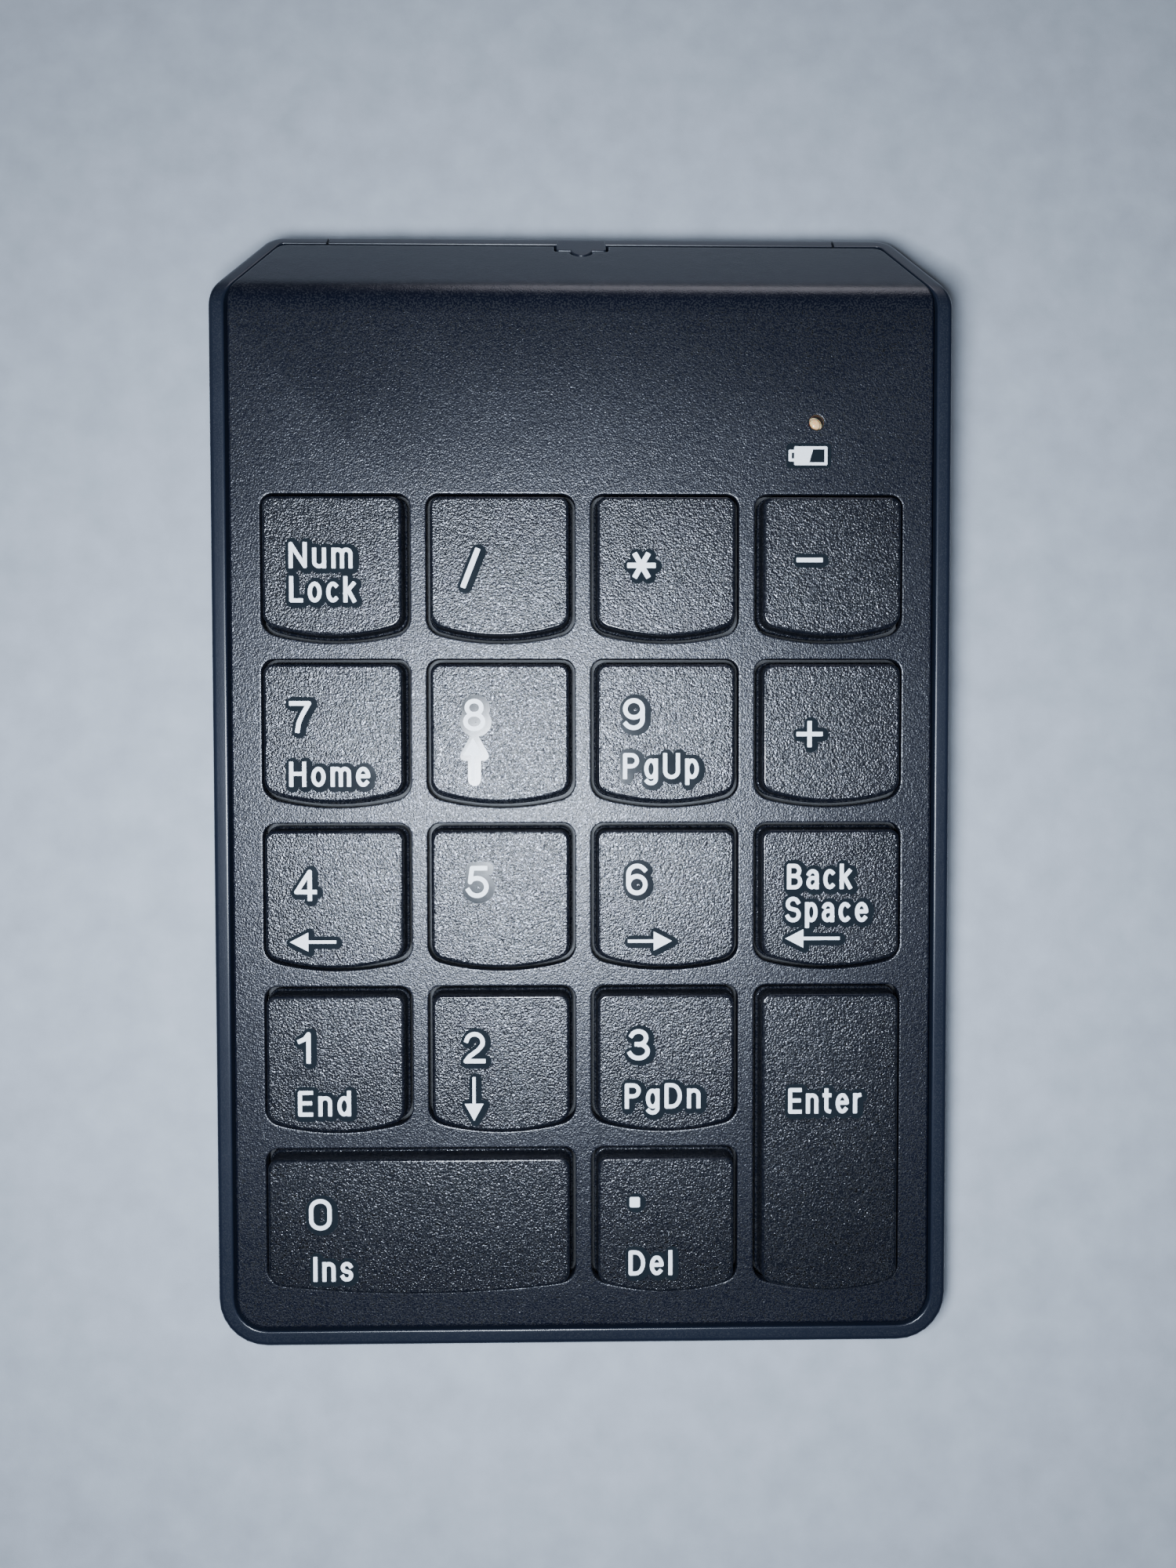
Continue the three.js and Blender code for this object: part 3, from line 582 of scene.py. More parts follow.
def turned(name: str, profile: Sequence[tuple[float, float]], sides: int = 48) -> bpy.types.Mesh:
    """A (radius, height) profile turned about Z, in millimetres, as a mesh whose ends are closed.

    Args:
        name: the mesh's name.
        profile: from the lower end to the upper; a radius of 0 is a pole.
        sides: faces round the axis.

    Returns:
        The mesh, still in millimetres.
    """
    pen = bmesh.new()
    rings: list[list[bmesh.types.BMVert]] = []
    for radius, height in profile:
        count = sides if radius > 1e-6 else 1
        turns = [2 * math.pi * k / count for k in range(count)]
        rings.append([pen.verts.new((radius * math.cos(t), radius * math.sin(t), height)) for t in turns])
    for low, high in zip(rings, rings[1:]):
        for k in range(sides):
            a, b = low[k % len(low)], low[(k + 1) % len(low)]
            c, d = high[(k + 1) % len(high)], high[k % len(high)]
            face = [v for n, v in enumerate((a, b, c, d)) if v not in (a, b, c, d)[:n]]
            if len(face) > 2:
                pen.faces.new(face)
    for ring in (rings[0], rings[-1]):
        if len(ring) > 1:
            pen.faces.new(ring)
    bmesh.ops.recalc_face_normals(pen, faces=pen.faces)
    mesh = bpy.data.meshes.new(name)
    pen.to_mesh(mesh)
    pen.free()
    smooth(mesh)
    return mesh


def stand(mesh: bpy.types.Mesh, name: str, place: Matrix) -> Piece:
    """Sets a millimetre mesh in the frame by a matrix whose translation is in metres."""
    mesh.transform(place @ Matrix.Scale(MM, 4))
    return linked(name, mesh)


def deck_matrix(x: float, v: float, w: float) -> Matrix:
    """The place and lean of something that stands on the deck."""
    return Matrix.Translation(deck_place(x, v, w)) @ Matrix.Rotation(FORM.slope, 4, "X")


# ---- Node graphs ------------------------------------------------------------------------------


class Graph:
    """A short way to write a node tree."""

    def __init__(self, tree: bpy.types.NodeTree) -> None:
        """Starts on an emptied tree."""
        self.tree = tree
        tree.nodes.clear()

    def add(self, kind: str, settings: Mapping[str, object] | None = None, **inputs: object) -> Node:
        """Adds a node.

        Args:
            kind: the node's type.
            settings: its properties.
            inputs: its sockets by name, with _ for a space; a socket links, a plain value is set.

        Returns:
            The node.
        """
        node = self.tree.nodes.new(kind)
        for name, value in (settings or {}).items():
            setattr(node, name, value)
        for name, value in inputs.items():
            self.put(node, name.replace("_", " "), value)
        node.location = (180 * (len(self.tree.nodes) % 8), -220 * (len(self.tree.nodes) // 8))
        return node

    def put(self, node: Node, socket: str | int, value: object) -> None:
        """Links or sets one input, by name or by number.

        Args:
            node: the node.
            socket: the input's name or number.
            value: a socket to link, or a plain value.
        """
        target = node.inputs[socket]
        if isinstance(value, Socket):
            self.tree.links.new(value, target)
        else:
            target.default_value = value

    def math(self, operation: str, a: object, b: object = 0.0) -> Socket:
        """A Math node's result.

        Args:
            operation: what it does.
            a: a socket or a number.
            b: a socket or a number.

        Returns:
            The node's output.
        """
        node = self.add("ShaderNodeMath", {"operation": operation})
        self.put(node, 0, a)
        self.put(node, 1, b)
        return node.outputs[0]

    def ramp(
        self, value: object, low: float, high: float, to_low: float = 0.0, to_high: float = 1.0
    ) -> Socket:
        """A clamped Map Range's result."""
        node = self.add(
            "ShaderNodeMapRange", Value=value, From_Min=low, From_Max=high, To_Min=to_low, To_Max=to_high
        )
        return node.outputs[0]

    def mix(self, share: object, a: object, b: object) -> Socket:
        """A colour Mix's result.

        Args:
            share: share of b.
            a: a colour.
            b: a colour.

        Returns:
            The node's output.
        """
        node = self.add("ShaderNodeMix", {"data_type": "RGBA"})
        self.put(node, 0, share)
        self.put(node, 6, a)
        self.put(node, 7, b)
        return node.outputs[2]


def shader_group(
    name: str, inputs: Mapping[str, float | None], outputs: Sequence[str]
) -> tuple[bpy.types.NodeTree, Graph, Node, Node]:
    """Starts a shader node group.

    Args:
        name: the group's name.
        inputs: socket names with their defaults; None makes a vector.
        outputs: names of its float outputs.

    Returns:
        The tree, its graph, and its input and output nodes.
    """
    tree = bpy.data.node_groups.new(name, "ShaderNodeTree")
    for label, default in inputs.items():
        kind = "NodeSocketVector" if default is None else "NodeSocketFloat"
        socket = tree.interface.new_socket(label, in_out="INPUT", socket_type=kind)
        if default is not None:
            socket.default_value = default
    for label in outputs:
        tree.interface.new_socket(label, in_out="OUTPUT", socket_type="NodeSocketFloat")
    graph = Graph(tree)
    return tree, graph, graph.add("NodeGroupInput"), graph.add("NodeGroupOutput")


def moulded_grain() -> bpy.types.NodeTree:
    """Sand-like grain of moulded plastic: a Height, and Specks where a facet shines.

    Returns:
        The group.
    """
    tree, graph, given, out = shader_group(
        "moulded_grain", {"Vector": None, "Size": 0.00014, "Coarse": 0.5}, ["Height", "Specks"]
    )
    scale = graph.math("DIVIDE", 1.0, given.outputs["Size"])
    pebbles = graph.add(
        "ShaderNodeTexVoronoi", {"feature": "SMOOTH_F1"}, Vector=given.outputs["Vector"], Scale=scale,
        Smoothness=0.35
    )
    dust = graph.add(
        "ShaderNodeTexNoise", Vector=given.outputs["Vector"], Scale=graph.math("MULTIPLY", scale, 1.7),
        Detail=2.0, Roughness=0.6
    )
    swell = graph.add(
        "ShaderNodeTexNoise", Vector=given.outputs["Vector"], Scale=graph.math("MULTIPLY", scale, 0.37),
        Detail=1.0
    )
    pebble_height = graph.math("SUBTRACT", 1.0, pebbles.outputs["Distance"])
    fine = graph.math(
        "ADD", graph.math("MULTIPLY", pebble_height, 0.6), graph.math("MULTIPLY", dust.outputs[0], 0.5)
    )
    broad = graph.math("MULTIPLY", swell.outputs[0], given.outputs["Coarse"])
    graph.put(out, "Height", graph.math("ADD", fine, broad))
    fleck = graph.add(
        "ShaderNodeTexNoise", Vector=given.outputs["Vector"], Scale=graph.math("MULTIPLY", scale, 0.9),
        Detail=1.0
    )
    graph.put(out, "Specks", graph.ramp(fleck.outputs[0], 0.48, 0.74))
    return tree


def handled_film() -> bpy.types.NodeTree:
    """The faint uneven film of handling: a Shade about 1 and a Gloss to add to the roughness.

    Returns:
        The group.
    """
    tree, graph, given, out = shader_group(
        "handled_film", {"Vector": None, "Size": 0.012, "Amount": 0.5}, ["Shade", "Gloss"]
    )
    scale = graph.math("DIVIDE", 1.0, given.outputs["Size"])
    patches = graph.add(
        "ShaderNodeTexNoise", Vector=given.outputs["Vector"], Scale=scale, Detail=4.0, Roughness=0.55
    )
    centred = graph.math("SUBTRACT", patches.outputs[0], 0.5)
    graph.put(
        out, "Shade",
        graph.math(
            "ADD", 1.0, graph.math("MULTIPLY", centred, graph.math("MULTIPLY", given.outputs["Amount"], 0.5))
        )
    )
    graph.put(
        out, "Gloss", graph.math("MULTIPLY", centred, graph.math("MULTIPLY", given.outputs["Amount"], 0.16))
    )
    return tree


def edge_polish() -> bpy.types.NodeTree:
    """Where a rounded edge has lost its grain: a Mask along the edges, broken by the Vector's noise.

    Returns:
        The group.
    """
    tree, graph, given, out = shader_group("edge_polish", {"Vector": None, "Amount": 0.95}, ["Mask"])
    marked = graph.add("ShaderNodeAttribute", {"attribute_name": "edge"})
    broken = graph.add("ShaderNodeTexNoise", Vector=given.outputs["Vector"], Scale=700.0, Detail=2.0)
    share = graph.math("MULTIPLY", marked.outputs["Fac"], graph.ramp(broken.outputs[0], 0.3, 0.6, 0.8, 1.0))
    graph.put(out, "Mask", graph.math("MULTIPLY", share, given.outputs["Amount"]))
    return tree


def brushing() -> bpy.types.NodeTree:
    """Fine drawn or brushed lines across X: a Height and a Shade about 1.

    Returns:
        The group.
    """
    tree, graph, given, out = shader_group(
        "brushing", {"Vector": None, "Pitch": 0.00012}, ["Height", "Shade"]
    )
    stretch = graph.add("ShaderNodeMapping", Vector=given.outputs["Vector"], Scale=(0.03, 1.0, 1.0))
    lines = graph.add(
        "ShaderNodeTexNoise", Vector=stretch.outputs[0],
        Scale=graph.math("DIVIDE", 1.0, given.outputs["Pitch"]), Detail=3.0
    )
    graph.put(out, "Height", lines.outputs[0])
    graph.put(out, "Shade", graph.ramp(lines.outputs[0], 0.3, 0.7, 0.86, 1.1))
    return tree


class Effects:
    """The shader groups that several finishes share, each built once."""

    makers: Mapping[str, Callable[[], bpy.types.NodeTree]] = {
        "grain": moulded_grain,
        "film": handled_film,
        "polish": edge_polish,
        "brushing": brushing,
    }
    built: dict[str, bpy.types.NodeTree] = {}

    @classmethod
    def place(cls, graph: Graph, name: str, **inputs: object) -> Node:
        """Places one shared effect in a material's graph.

        Args:
            graph: the material's graph.
            name: the effect's name.
            inputs: the group's inputs.

        Returns:
            The group node.
        """
        if name not in cls.built:
            cls.built[name] = cls.makers[name]()
        node = graph.tree.nodes.new("ShaderNodeGroup")
        node.node_tree = cls.built[name]
        for label, value in inputs.items():
            graph.put(node, label, value)
        return node


# ---- Finishes ---------------------------------------------------------------------------------


class MaterialGraph(Graph):
    """A material's graph: one Principled shader, and Object coordinates for its patterns."""

    def __init__(self, tree: bpy.types.NodeTree) -> None:
        """Starts with the shader joined to the output.

        Args:
            tree: the material's node tree.
        """
        super().__init__(tree)
        self.shader = self.add("ShaderNodeBsdfPrincipled")
        out = self.add("ShaderNodeOutputMaterial")
        tree.links.new(self.shader.outputs[0], out.inputs[0])
        self.place = self.add("ShaderNodeTexCoord").outputs["Object"]

    def feed(self, socket: str, value: object) -> None:
        """Links or sets one of the shader's inputs."""
        self.put(self.shader, socket, value)

    def effect(self, name: str, **inputs: object) -> Node:
        """Places one shared effect on the Object coordinates."""
        return Effects.place(self, name, Vector=self.place, **inputs)


def shaded(graph: Graph, colour: Colour, shade: Socket) -> Socket:
    """A colour made lighter or darker by a factor.

    Args:
        graph: the material's graph.
        colour: the colour.
        shade: the factor.

    Returns:
        The shaded colour.
    """
    scaled = graph.add("ShaderNodeVectorMath", {"operation": "SCALE"})
    graph.put(scaled, 0, colour)
    graph.put(scaled, "Scale", shade)
    return scaled.outputs[0]


@dataclass(frozen=True)
class Finish:
    """A finish: each kind draws its own nodes round one Principled shader."""

    name: str
    colour: Colour
    roughness: float
    bump: float = 0.00002

    def material(self) -> bpy.types.Material:
        """The finish's material, built the first time it is asked for.

        Returns:
            The material.
        """
        known = bpy.data.materials.get(self.name)
        if known and known.use_nodes and known.get("keypad_finish"):
            return known
        made = bpy.data.materials.new(self.name)
        made["keypad_finish"] = True
        made.use_nodes = True
        made.diffuse_color = (*self.colour, 1.0)
        self.draw(MaterialGraph(made.node_tree))
        return made

    def draw(self, graph: MaterialGraph) -> None:
        """Draws the nodes that feed the shader."""
        raise NotImplementedError

    def rough(self, graph: Graph, *parts: Socket) -> Socket:
        """The roughness with each part's change added.

        Args:
            graph: the material's graph.
            parts: changes to add.

        Returns:
            The sum, or the plain roughness.
        """
        total: object = self.roughness
        for part in parts:
            total = graph.math("ADD", total, part)
        return total

    def raise_bump(self, graph: MaterialGraph, height: Socket, strength: float = 1.0) -> None:
        """Feeds a height to the shader's normal at the finish's depth."""
        bump = graph.add("ShaderNodeBump", Height=height, Strength=strength, Distance=self.bump)
        graph.feed("Normal", bump.outputs[0])


@dataclass(frozen=True)
class MouldedPlastic(Finish):
    """Grained or satin moulded plastic, polished along its edges."""

    grain: float = 0.00014
    coarse: float = 0.5
    specks: float = 0.5
    film: float = 0.5
    sheen: Colour = (0.30, 0.31, 0.34)

    def draw(self, graph: MaterialGraph) -> None:
        """Grain, flecks, a film of handling and polished edges.

        Args:
            graph: the material's graph.
        """
        grain = graph.effect("grain", Size=self.grain, Coarse=self.coarse)
        film = graph.effect("film", Amount=self.film)
        polish = graph.effect("polish")
        plain = graph.math("SUBTRACT", 1.0, polish.outputs["Mask"])
        base = shaded(graph, self.colour, film.outputs["Shade"])
        flecks = graph.math("MULTIPLY", graph.math("MULTIPLY", grain.outputs["Specks"], self.specks), plain)
        graph.feed("Base Color", graph.mix(flecks, base, (*self.sheen, 1.0)))
        graph.feed("Metallic", graph.ramp(flecks, 0.0, 0.22))
        worn = graph.math("MULTIPLY", polish.outputs["Mask"], -0.08)
        glint = graph.math("MULTIPLY", flecks, -0.08)
        graph.feed("Roughness", self.rough(graph, film.outputs["Gloss"], worn, glint))
        height = graph.math(
            "MULTIPLY", grain.outputs["Height"], graph.math("ADD", graph.math("MULTIPLY", plain, 0.9), 0.1)
        )
        self.raise_bump(graph, height)
        graph.feed("IOR", 1.46)


@dataclass(frozen=True)
class Lacquer(Finish):
    """Clear lacquer over dark plastic round each legend."""

    def draw(self, graph: MaterialGraph) -> None:
        """A smooth film with slow ripples that drown the grain below.

        Args:
            graph: the material's graph.
        """
        film = graph.effect("film", Size=0.003, Amount=0.6)
        grain = graph.effect("grain", Size=0.0005, Coarse=0.8)
        graph.feed("Base Color", shaded(graph, self.colour, film.outputs["Shade"]))
        graph.feed("Roughness", self.rough(graph, film.outputs["Gloss"]))
        self.raise_bump(graph, grain.outputs["Height"], 0.5)
        graph.shader.inputs["Specular IOR Level"].default_value = 0.24


@dataclass(frozen=True)
class Ink(Finish):
    """Opaque printed ink, slightly thin in places."""

    thin: Colour = (0.62, 0.66, 0.72)

    def draw(self, graph: MaterialGraph) -> None:
        """Ink with faint thin patches and a little of the grain showing through.

        Args:
            graph: the material's graph.
        """
        grain = graph.effect("grain", Size=0.00016, Coarse=0.3)
        film = graph.effect("film", Size=0.002, Amount=0.8)
        share = graph.math("MULTIPLY", grain.outputs["Specks"], 0.22)
        graph.feed("Base Color", graph.mix(share, (*self.colour, 1.0), (*self.thin, 1.0)))
        graph.feed("Roughness", self.rough(graph, film.outputs["Gloss"]))
        self.raise_bump(graph, grain.outputs["Height"], 0.5)


@dataclass(frozen=True)
class SoftRubber(Finish):
    """Rubber or silicone: matt, with a fine bloom and a soft edge."""

    through: float = 0.0

    def draw(self, graph: MaterialGraph) -> None:
        """Bloom in patches over a fine tooth.

        Args:
            graph: the material's graph.
        """
        grain = graph.effect("grain", Size=0.0002, Coarse=0.9)
        film = graph.effect("film", Size=0.005, Amount=0.9)
        graph.feed("Base Color", shaded(graph, self.colour, film.outputs["Shade"]))
        graph.feed("Roughness", self.rough(graph, film.outputs["Gloss"]))
        self.raise_bump(graph, grain.outputs["Height"], 0.8)
        graph.shader.inputs["Subsurface Weight"].default_value = self.through
        graph.shader.inputs["Subsurface Scale"].default_value = 0.001


@dataclass(frozen=True)
class Metal(Finish):
    """Bare or plated metal with drawn lines and dull patches."""

    pitch: float = 0.00012

    def draw(self, graph: MaterialGraph) -> None:
        """Drawn lines, with handling dulling the shine.

        Args:
            graph: the material's graph.
        """
        lines = graph.effect("brushing", Pitch=self.pitch)
        film = graph.effect("film", Size=0.004, Amount=1.0)
        graph.feed("Base Color", shaded(graph, self.colour, lines.outputs["Shade"]))
        graph.feed("Roughness", self.rough(graph, film.outputs["Gloss"]))
        self.raise_bump(graph, lines.outputs["Height"], 0.6)
        graph.shader.inputs["Metallic"].default_value = 1.0


@dataclass(frozen=True)
class ClearAmber(Finish):
    """Tinted clear plastic of the lamp's light pipe, its core lighter than its skin."""

    core: Colour = (0.98, 0.72, 0.42)

    def draw(self, graph: MaterialGraph) -> None:
        """A warm core in soft cloud, under a gloss coat.

        Args:
            graph: the material's graph.
        """
        film = graph.effect("film", Size=0.0008, Amount=1.0)
        cloud = graph.ramp(film.outputs["Shade"], 0.85, 1.15)
        graph.feed("Base Color", graph.mix(cloud, (*self.colour, 1.0), (*self.core, 1.0)))
        graph.feed("Roughness", self.rough(graph, film.outputs["Gloss"]))
        self.raise_bump(graph, cloud, 0.3)
        graph.shader.inputs["Subsurface Weight"].default_value = 0.4
        graph.shader.inputs["Subsurface Scale"].default_value = 0.0008
        graph.shader.inputs["Coat Weight"].default_value = 0.4


@dataclass(frozen=True)
class TracedBoard(Finish):
    """A lacquered board or film with conductor tracks showing through it."""

    track: Colour = (0.05, 0.20, 0.11)
    pitch: float = 0.0012

    def draw(self, graph: MaterialGraph) -> None:
        """Tracks as stepped cells, raised a little.

        Args:
            graph: the material's graph.
        """
        split = graph.add(
            "ShaderNodeTexVoronoi", {"distance": "MANHATTAN", "feature": "F1"}, Vector=graph.place,
            Scale=1 / self.pitch
        )
        edge = graph.ramp(split.outputs["Distance"], 0.42, 0.5)
        film = graph.effect("film", Size=0.006, Amount=0.6)
        graph.feed("Base Color", graph.mix(edge, (*self.colour, 1.0), (*self.track, 1.0)))
        graph.feed("Roughness", self.rough(graph, film.outputs["Gloss"]))
        self.raise_bump(graph, edge, 0.6)
        graph.shader.inputs["Coat Weight"].default_value = 0.3


@dataclass(frozen=True)
class CellSleeve(Finish):
    """The cell's printed sleeve: a dark body, a light band towards the raised end, bare metal ends."""

    band: Colour = (0.72, 0.58, 0.30)
    start: float = -0.0210
    end: float = 0.0270
    band_start: float = 0.0150

    def draw(self, graph: MaterialGraph) -> None:
        """The sleeve's colours run along X.

        Args:
            graph: the material's graph.
        """
        along = graph.add("ShaderNodeSeparateXYZ", Vector=graph.place).outputs["X"]
        film = graph.effect("film", Size=0.004, Amount=0.5)
        grain = graph.effect("grain", Size=0.0003, Coarse=0.2)
        banded = graph.mix(
            graph.math("GREATER_THAN", along, self.band_start), (*self.colour, 1.0), (*self.band, 1.0)
        )
        sleeved = graph.math(
            "MULTIPLY", graph.math("GREATER_THAN", along, self.start),
            graph.math("LESS_THAN", along, self.end)
        )
        graph.feed("Base Color", graph.mix(sleeved, (0.62, 0.62, 0.60, 1.0), banded))
        graph.feed("Metallic", graph.math("SUBTRACT", 1.0, sleeved))
        graph.feed("Roughness", self.rough(graph, film.outputs["Gloss"]))
        self.raise_bump(graph, grain.outputs["Height"], 0.2)


DECK_GRAIN = MouldedPlastic(
    "cover_plastic", (0.0028, 0.0040, 0.0095), 0.31, 0.000046, 0.00019, 0.5, 0.36, 0.45
)
RIM_SATIN = MouldedPlastic(
    "lower_case_plastic", (0.0065, 0.0095, 0.0180), 0.36, 0.000008, 0.00012, 0.3, 0.08, 0.5
)
KEY_GRAIN = MouldedPlastic("key_plastic", (0.0036, 0.0046, 0.0082), 0.24, 0.000070, 0.00022, 0.4, 0.42, 0.4)
LEGEND_LACQUER = Lacquer("legend_lacquer", (0.0090, 0.0125, 0.0165), 0.14, 0.000002)
LEGEND_INK = Ink("legend_ink", (0.86, 0.89, 0.93), 0.42, 0.000006)
FRAME_GREY = MouldedPlastic("frame_plastic", (0.030, 0.031, 0.034), 0.50, 0.000008, 0.00016, 0.4, 0.10, 0.5)
CHIP_BLACK = MouldedPlastic("chip_black", (0.012, 0.012, 0.014), 0.50, 0.000006, 0.00010, 0.3, 0.05, 0.4)
DOME_SILICONE = SoftRubber("dome_silicone", (0.62, 0.62, 0.58), 0.45, 0.000006, 0.3)
FOOT_RUBBER = SoftRubber("foot_rubber", (0.014, 0.014, 0.015), 0.78, 0.000015)
LEAD_BLACK = SoftRubber("lead_black", (0.010, 0.010, 0.011), 0.40, 0.000004)
LEAD_RED = SoftRubber("lead_red", (0.36, 0.018, 0.015), 0.40, 0.000004)
SHEET_STEEL = Metal("sheet_steel", (0.48, 0.49, 0.50), 0.36, 0.000004)
WIRE_STEEL = Metal("wire_steel", (0.60, 0.60, 0.60), 0.24, 0.000003, 0.00006)
CONTACT_NICKEL = Metal("contact_nickel", (0.66, 0.64, 0.58), 0.22, 0.000003, 0.00006)
SCREW_STEEL = Metal("screw_steel", (0.075, 0.077, 0.085), 0.34, 0.000003, 0.00008)
LAMP_AMBER = ClearAmber("lamp_amber", (0.72, 0.36, 0.13), 0.22, 0.000004)
BOARD_GREEN = TracedBoard("circuit_board", (0.014, 0.085, 0.040), 0.35, 0.000012)
MEMBRANE_FILM = TracedBoard("membrane_film", (0.42, 0.50, 0.47), 0.30, 0.000006, (0.50, 0.52, 0.52), 0.003)
CELL_SLEEVE = CellSleeve("battery_sleeve", (0.018, 0.050, 0.120), 0.28, 0.000004)
FLOOR_PAPER = SoftRubber("floor_paper", (0.40, 0.435, 0.49), 0.9, 0.00001)
FINISHES: dict[str, Finish] = {
    finish.name: finish
    for finish in (
        DECK_GRAIN, RIM_SATIN, KEY_GRAIN, FRAME_GREY, CHIP_BLACK, DOME_SILICONE, FOOT_RUBBER, LEAD_BLACK,
        LEAD_RED,
        SHEET_STEEL, WIRE_STEEL, CONTACT_NICKEL, SCREW_STEEL, LAMP_AMBER, BOARD_GREEN, MEMBRANE_FILM,
        CELL_SLEEVE,
    )
}


def dress(
    piece: Piece, finish: Finish, body: str, nodes: Sequence[str] = (), slot: str | None = None
) -> None:
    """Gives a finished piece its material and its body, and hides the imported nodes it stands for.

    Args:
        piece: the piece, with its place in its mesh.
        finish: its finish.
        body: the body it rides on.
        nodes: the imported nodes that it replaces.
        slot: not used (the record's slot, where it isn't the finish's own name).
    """
    piece.data.materials.clear()
    piece.data.materials.append(finish.material())
    piece.data.polygons.foreach_set("material_index", [0] * len(piece.data.polygons))
    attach(piece, body)
    if nodes:
        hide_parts(*nodes)
    slot or finish.name
    LOG.info("%s: %d faces, on %s", piece.name, len(piece.data.polygons), body)


# ---- Repeated and drawn pieces by Geometry Nodes ------------------------------------------------


@dataclass(frozen=True)
class NodeTool:
    """A Geometry Nodes tree with named inputs, run once on an object and then removed."""

    name: str
    inputs: Mapping[str, tuple[str, object]]
    write: Callable[[Graph, Node], Socket]

    def tree(self, finish: Finish) -> bpy.types.NodeTree:
        """Builds the tree, ending in Realize Instances and Set Material.

        Args:
            finish: the finish set at the tree's end.

        Returns:
            The tree.
        """
        tree = bpy.data.node_groups.new(self.name, "GeometryNodeTree")
        tree.interface.new_socket("Geometry", in_out="INPUT", socket_type="NodeSocketGeometry")
        for label, (kind, default) in self.inputs.items():
            socket = tree.interface.new_socket(label, in_out="INPUT", socket_type=kind)
            if default is not None:
                socket.default_value = default
        tree.interface.new_socket("Geometry", in_out="OUTPUT", socket_type="NodeSocketGeometry")
        graph = Graph(tree)
        given = graph.add("NodeGroupInput")
        drawn = self.write(graph, given)
        real = graph.add("GeometryNodeRealizeInstances", Geometry=drawn)
        painted = graph.add("GeometryNodeSetMaterial", Geometry=real.outputs[0], Material=finish.material())
        out = graph.add("NodeGroupOutput")
        graph.put(out, 0, painted.outputs[0])
        return tree

    def run(self, base: Piece, finish: Finish, **values: object) -> None:
        """Runs the tree on an object and keeps the result as its plain mesh.

        Args:
            base: the object, whose mesh is replaced.
            finish: the finish set at the tree's end.
            values: input values by name, with _ for a space.
        """
        step = base.modifiers.new(self.name, "NODES")
        step.node_group = self.tree(finish)
        for item in step.node_group.interface.items_tree:
            key = item.name.replace(" ", "_")
            if item.in_out == "INPUT" and key in values:
                step[item.identifier] = values[key]
        base.update_tag()
        ready = base.evaluated_get(bpy.context.evaluated_depsgraph_get())
        mesh = bpy.data.meshes.new_from_object(ready)
        base.modifiers.clear()
        spent, base.data = base.data, mesh
        bpy.data.meshes.remove(spent)


def write_wire(graph: Graph, given: Node) -> Socket:
    """A round wire along the object's edges, with rounded bends and closed ends.

    Args:
        graph: the tree's graph.
        given: its input node.

    Returns:
        The wire.
    """
    path = graph.add("GeometryNodeMeshToCurve", Mesh=given.outputs["Geometry"])
    steps, radius = given.outputs["Bend Steps"], given.outputs["Bend Radius"]
    bent = graph.add(
        "GeometryNodeFilletCurve", {"mode": "POLY"}, Curve=path.outputs[0], Count=steps, Radius=radius
    )
    section = graph.add(
        "GeometryNodeCurvePrimitiveCircle", Resolution=given.outputs["Sides"], Radius=given.outputs["Radius"]
    )
    tube = graph.add(
        "GeometryNodeCurveToMesh", Curve=bent.outputs[0], Profile_Curve=section.outputs[0], Fill_Caps=True
    )
    return graph.add("GeometryNodeSetShadeSmooth", Geometry=tube.outputs[0]).outputs[0]


def write_copies(graph: Graph, given: Node) -> Socket:
    """A copy of the pattern at every point of the object.

    Args:
        graph: the tree's graph.
        given: its input node.

    Returns:
        The instances.
    """
    pattern = graph.add("GeometryNodeObjectInfo", Object=given.outputs["Pattern"])
    size = graph.add(
        "ShaderNodeCombineXYZ", X=given.outputs["Size"], Y=given.outputs["Size"], Z=given.outputs["Size"]
    )
    set_out = graph.add(
        "GeometryNodeInstanceOnPoints", Points=given.outputs["Geometry"],
        Instance=pattern.outputs["Geometry"], Scale=size.outputs[0]
    )
    return set_out.outputs[0]


WIRE_TOOL = NodeTool(
    "wire_along_edges",
    {
        "Radius": ("NodeSocketFloat", 0.00045),
        "Sides": ("NodeSocketInt", 16),
        "Bend Radius": ("NodeSocketFloat", 0.0006),
        "Bend Steps": ("NodeSocketInt", 6),
    },
    write_wire,
)
COPY_TOOL = NodeTool(
    "copies_on_points",
    {"Pattern": ("NodeSocketObject", None), "Size": ("NodeSocketFloat", 1.0)},
    write_copies,
)


def edge_path(name: str, places: Sequence[Vector]) -> Piece:
    """An object of plain edges through places in metres.

    Args:
        name: the object's name.
        places: the places, in order.

    Returns:
        The object.
    """
    mesh = bpy.data.meshes.new(name)
    mesh.from_pydata([tuple(p) for p in places], [(i, i + 1) for i in range(len(places) - 1)], [])
    return linked(name, mesh)


def draw_wire(name: str, places: Sequence[Vector], radius: float, bend: float, finish: Finish) -> Piece:
    """A round wire through places, by the wire tree; sizes in millimetres.

    Args:
        name: the object's name.
        places: its bends, in metres.
        radius: radius of the wire.
        bend: radius of its bends.
        finish: its finish.

    Returns:
        The wire.
    """
    wire = edge_path(name, places)
    WIRE_TOOL.run(wire, finish, Radius=radius * MM, Sides=16, Bend_Radius=bend * MM, Bend_Steps=6)
    face_outwards(wire.data)
    smooth(wire.data, 60)
    return wire


# ---- Case pieces --------------------------------------------------------------------------------


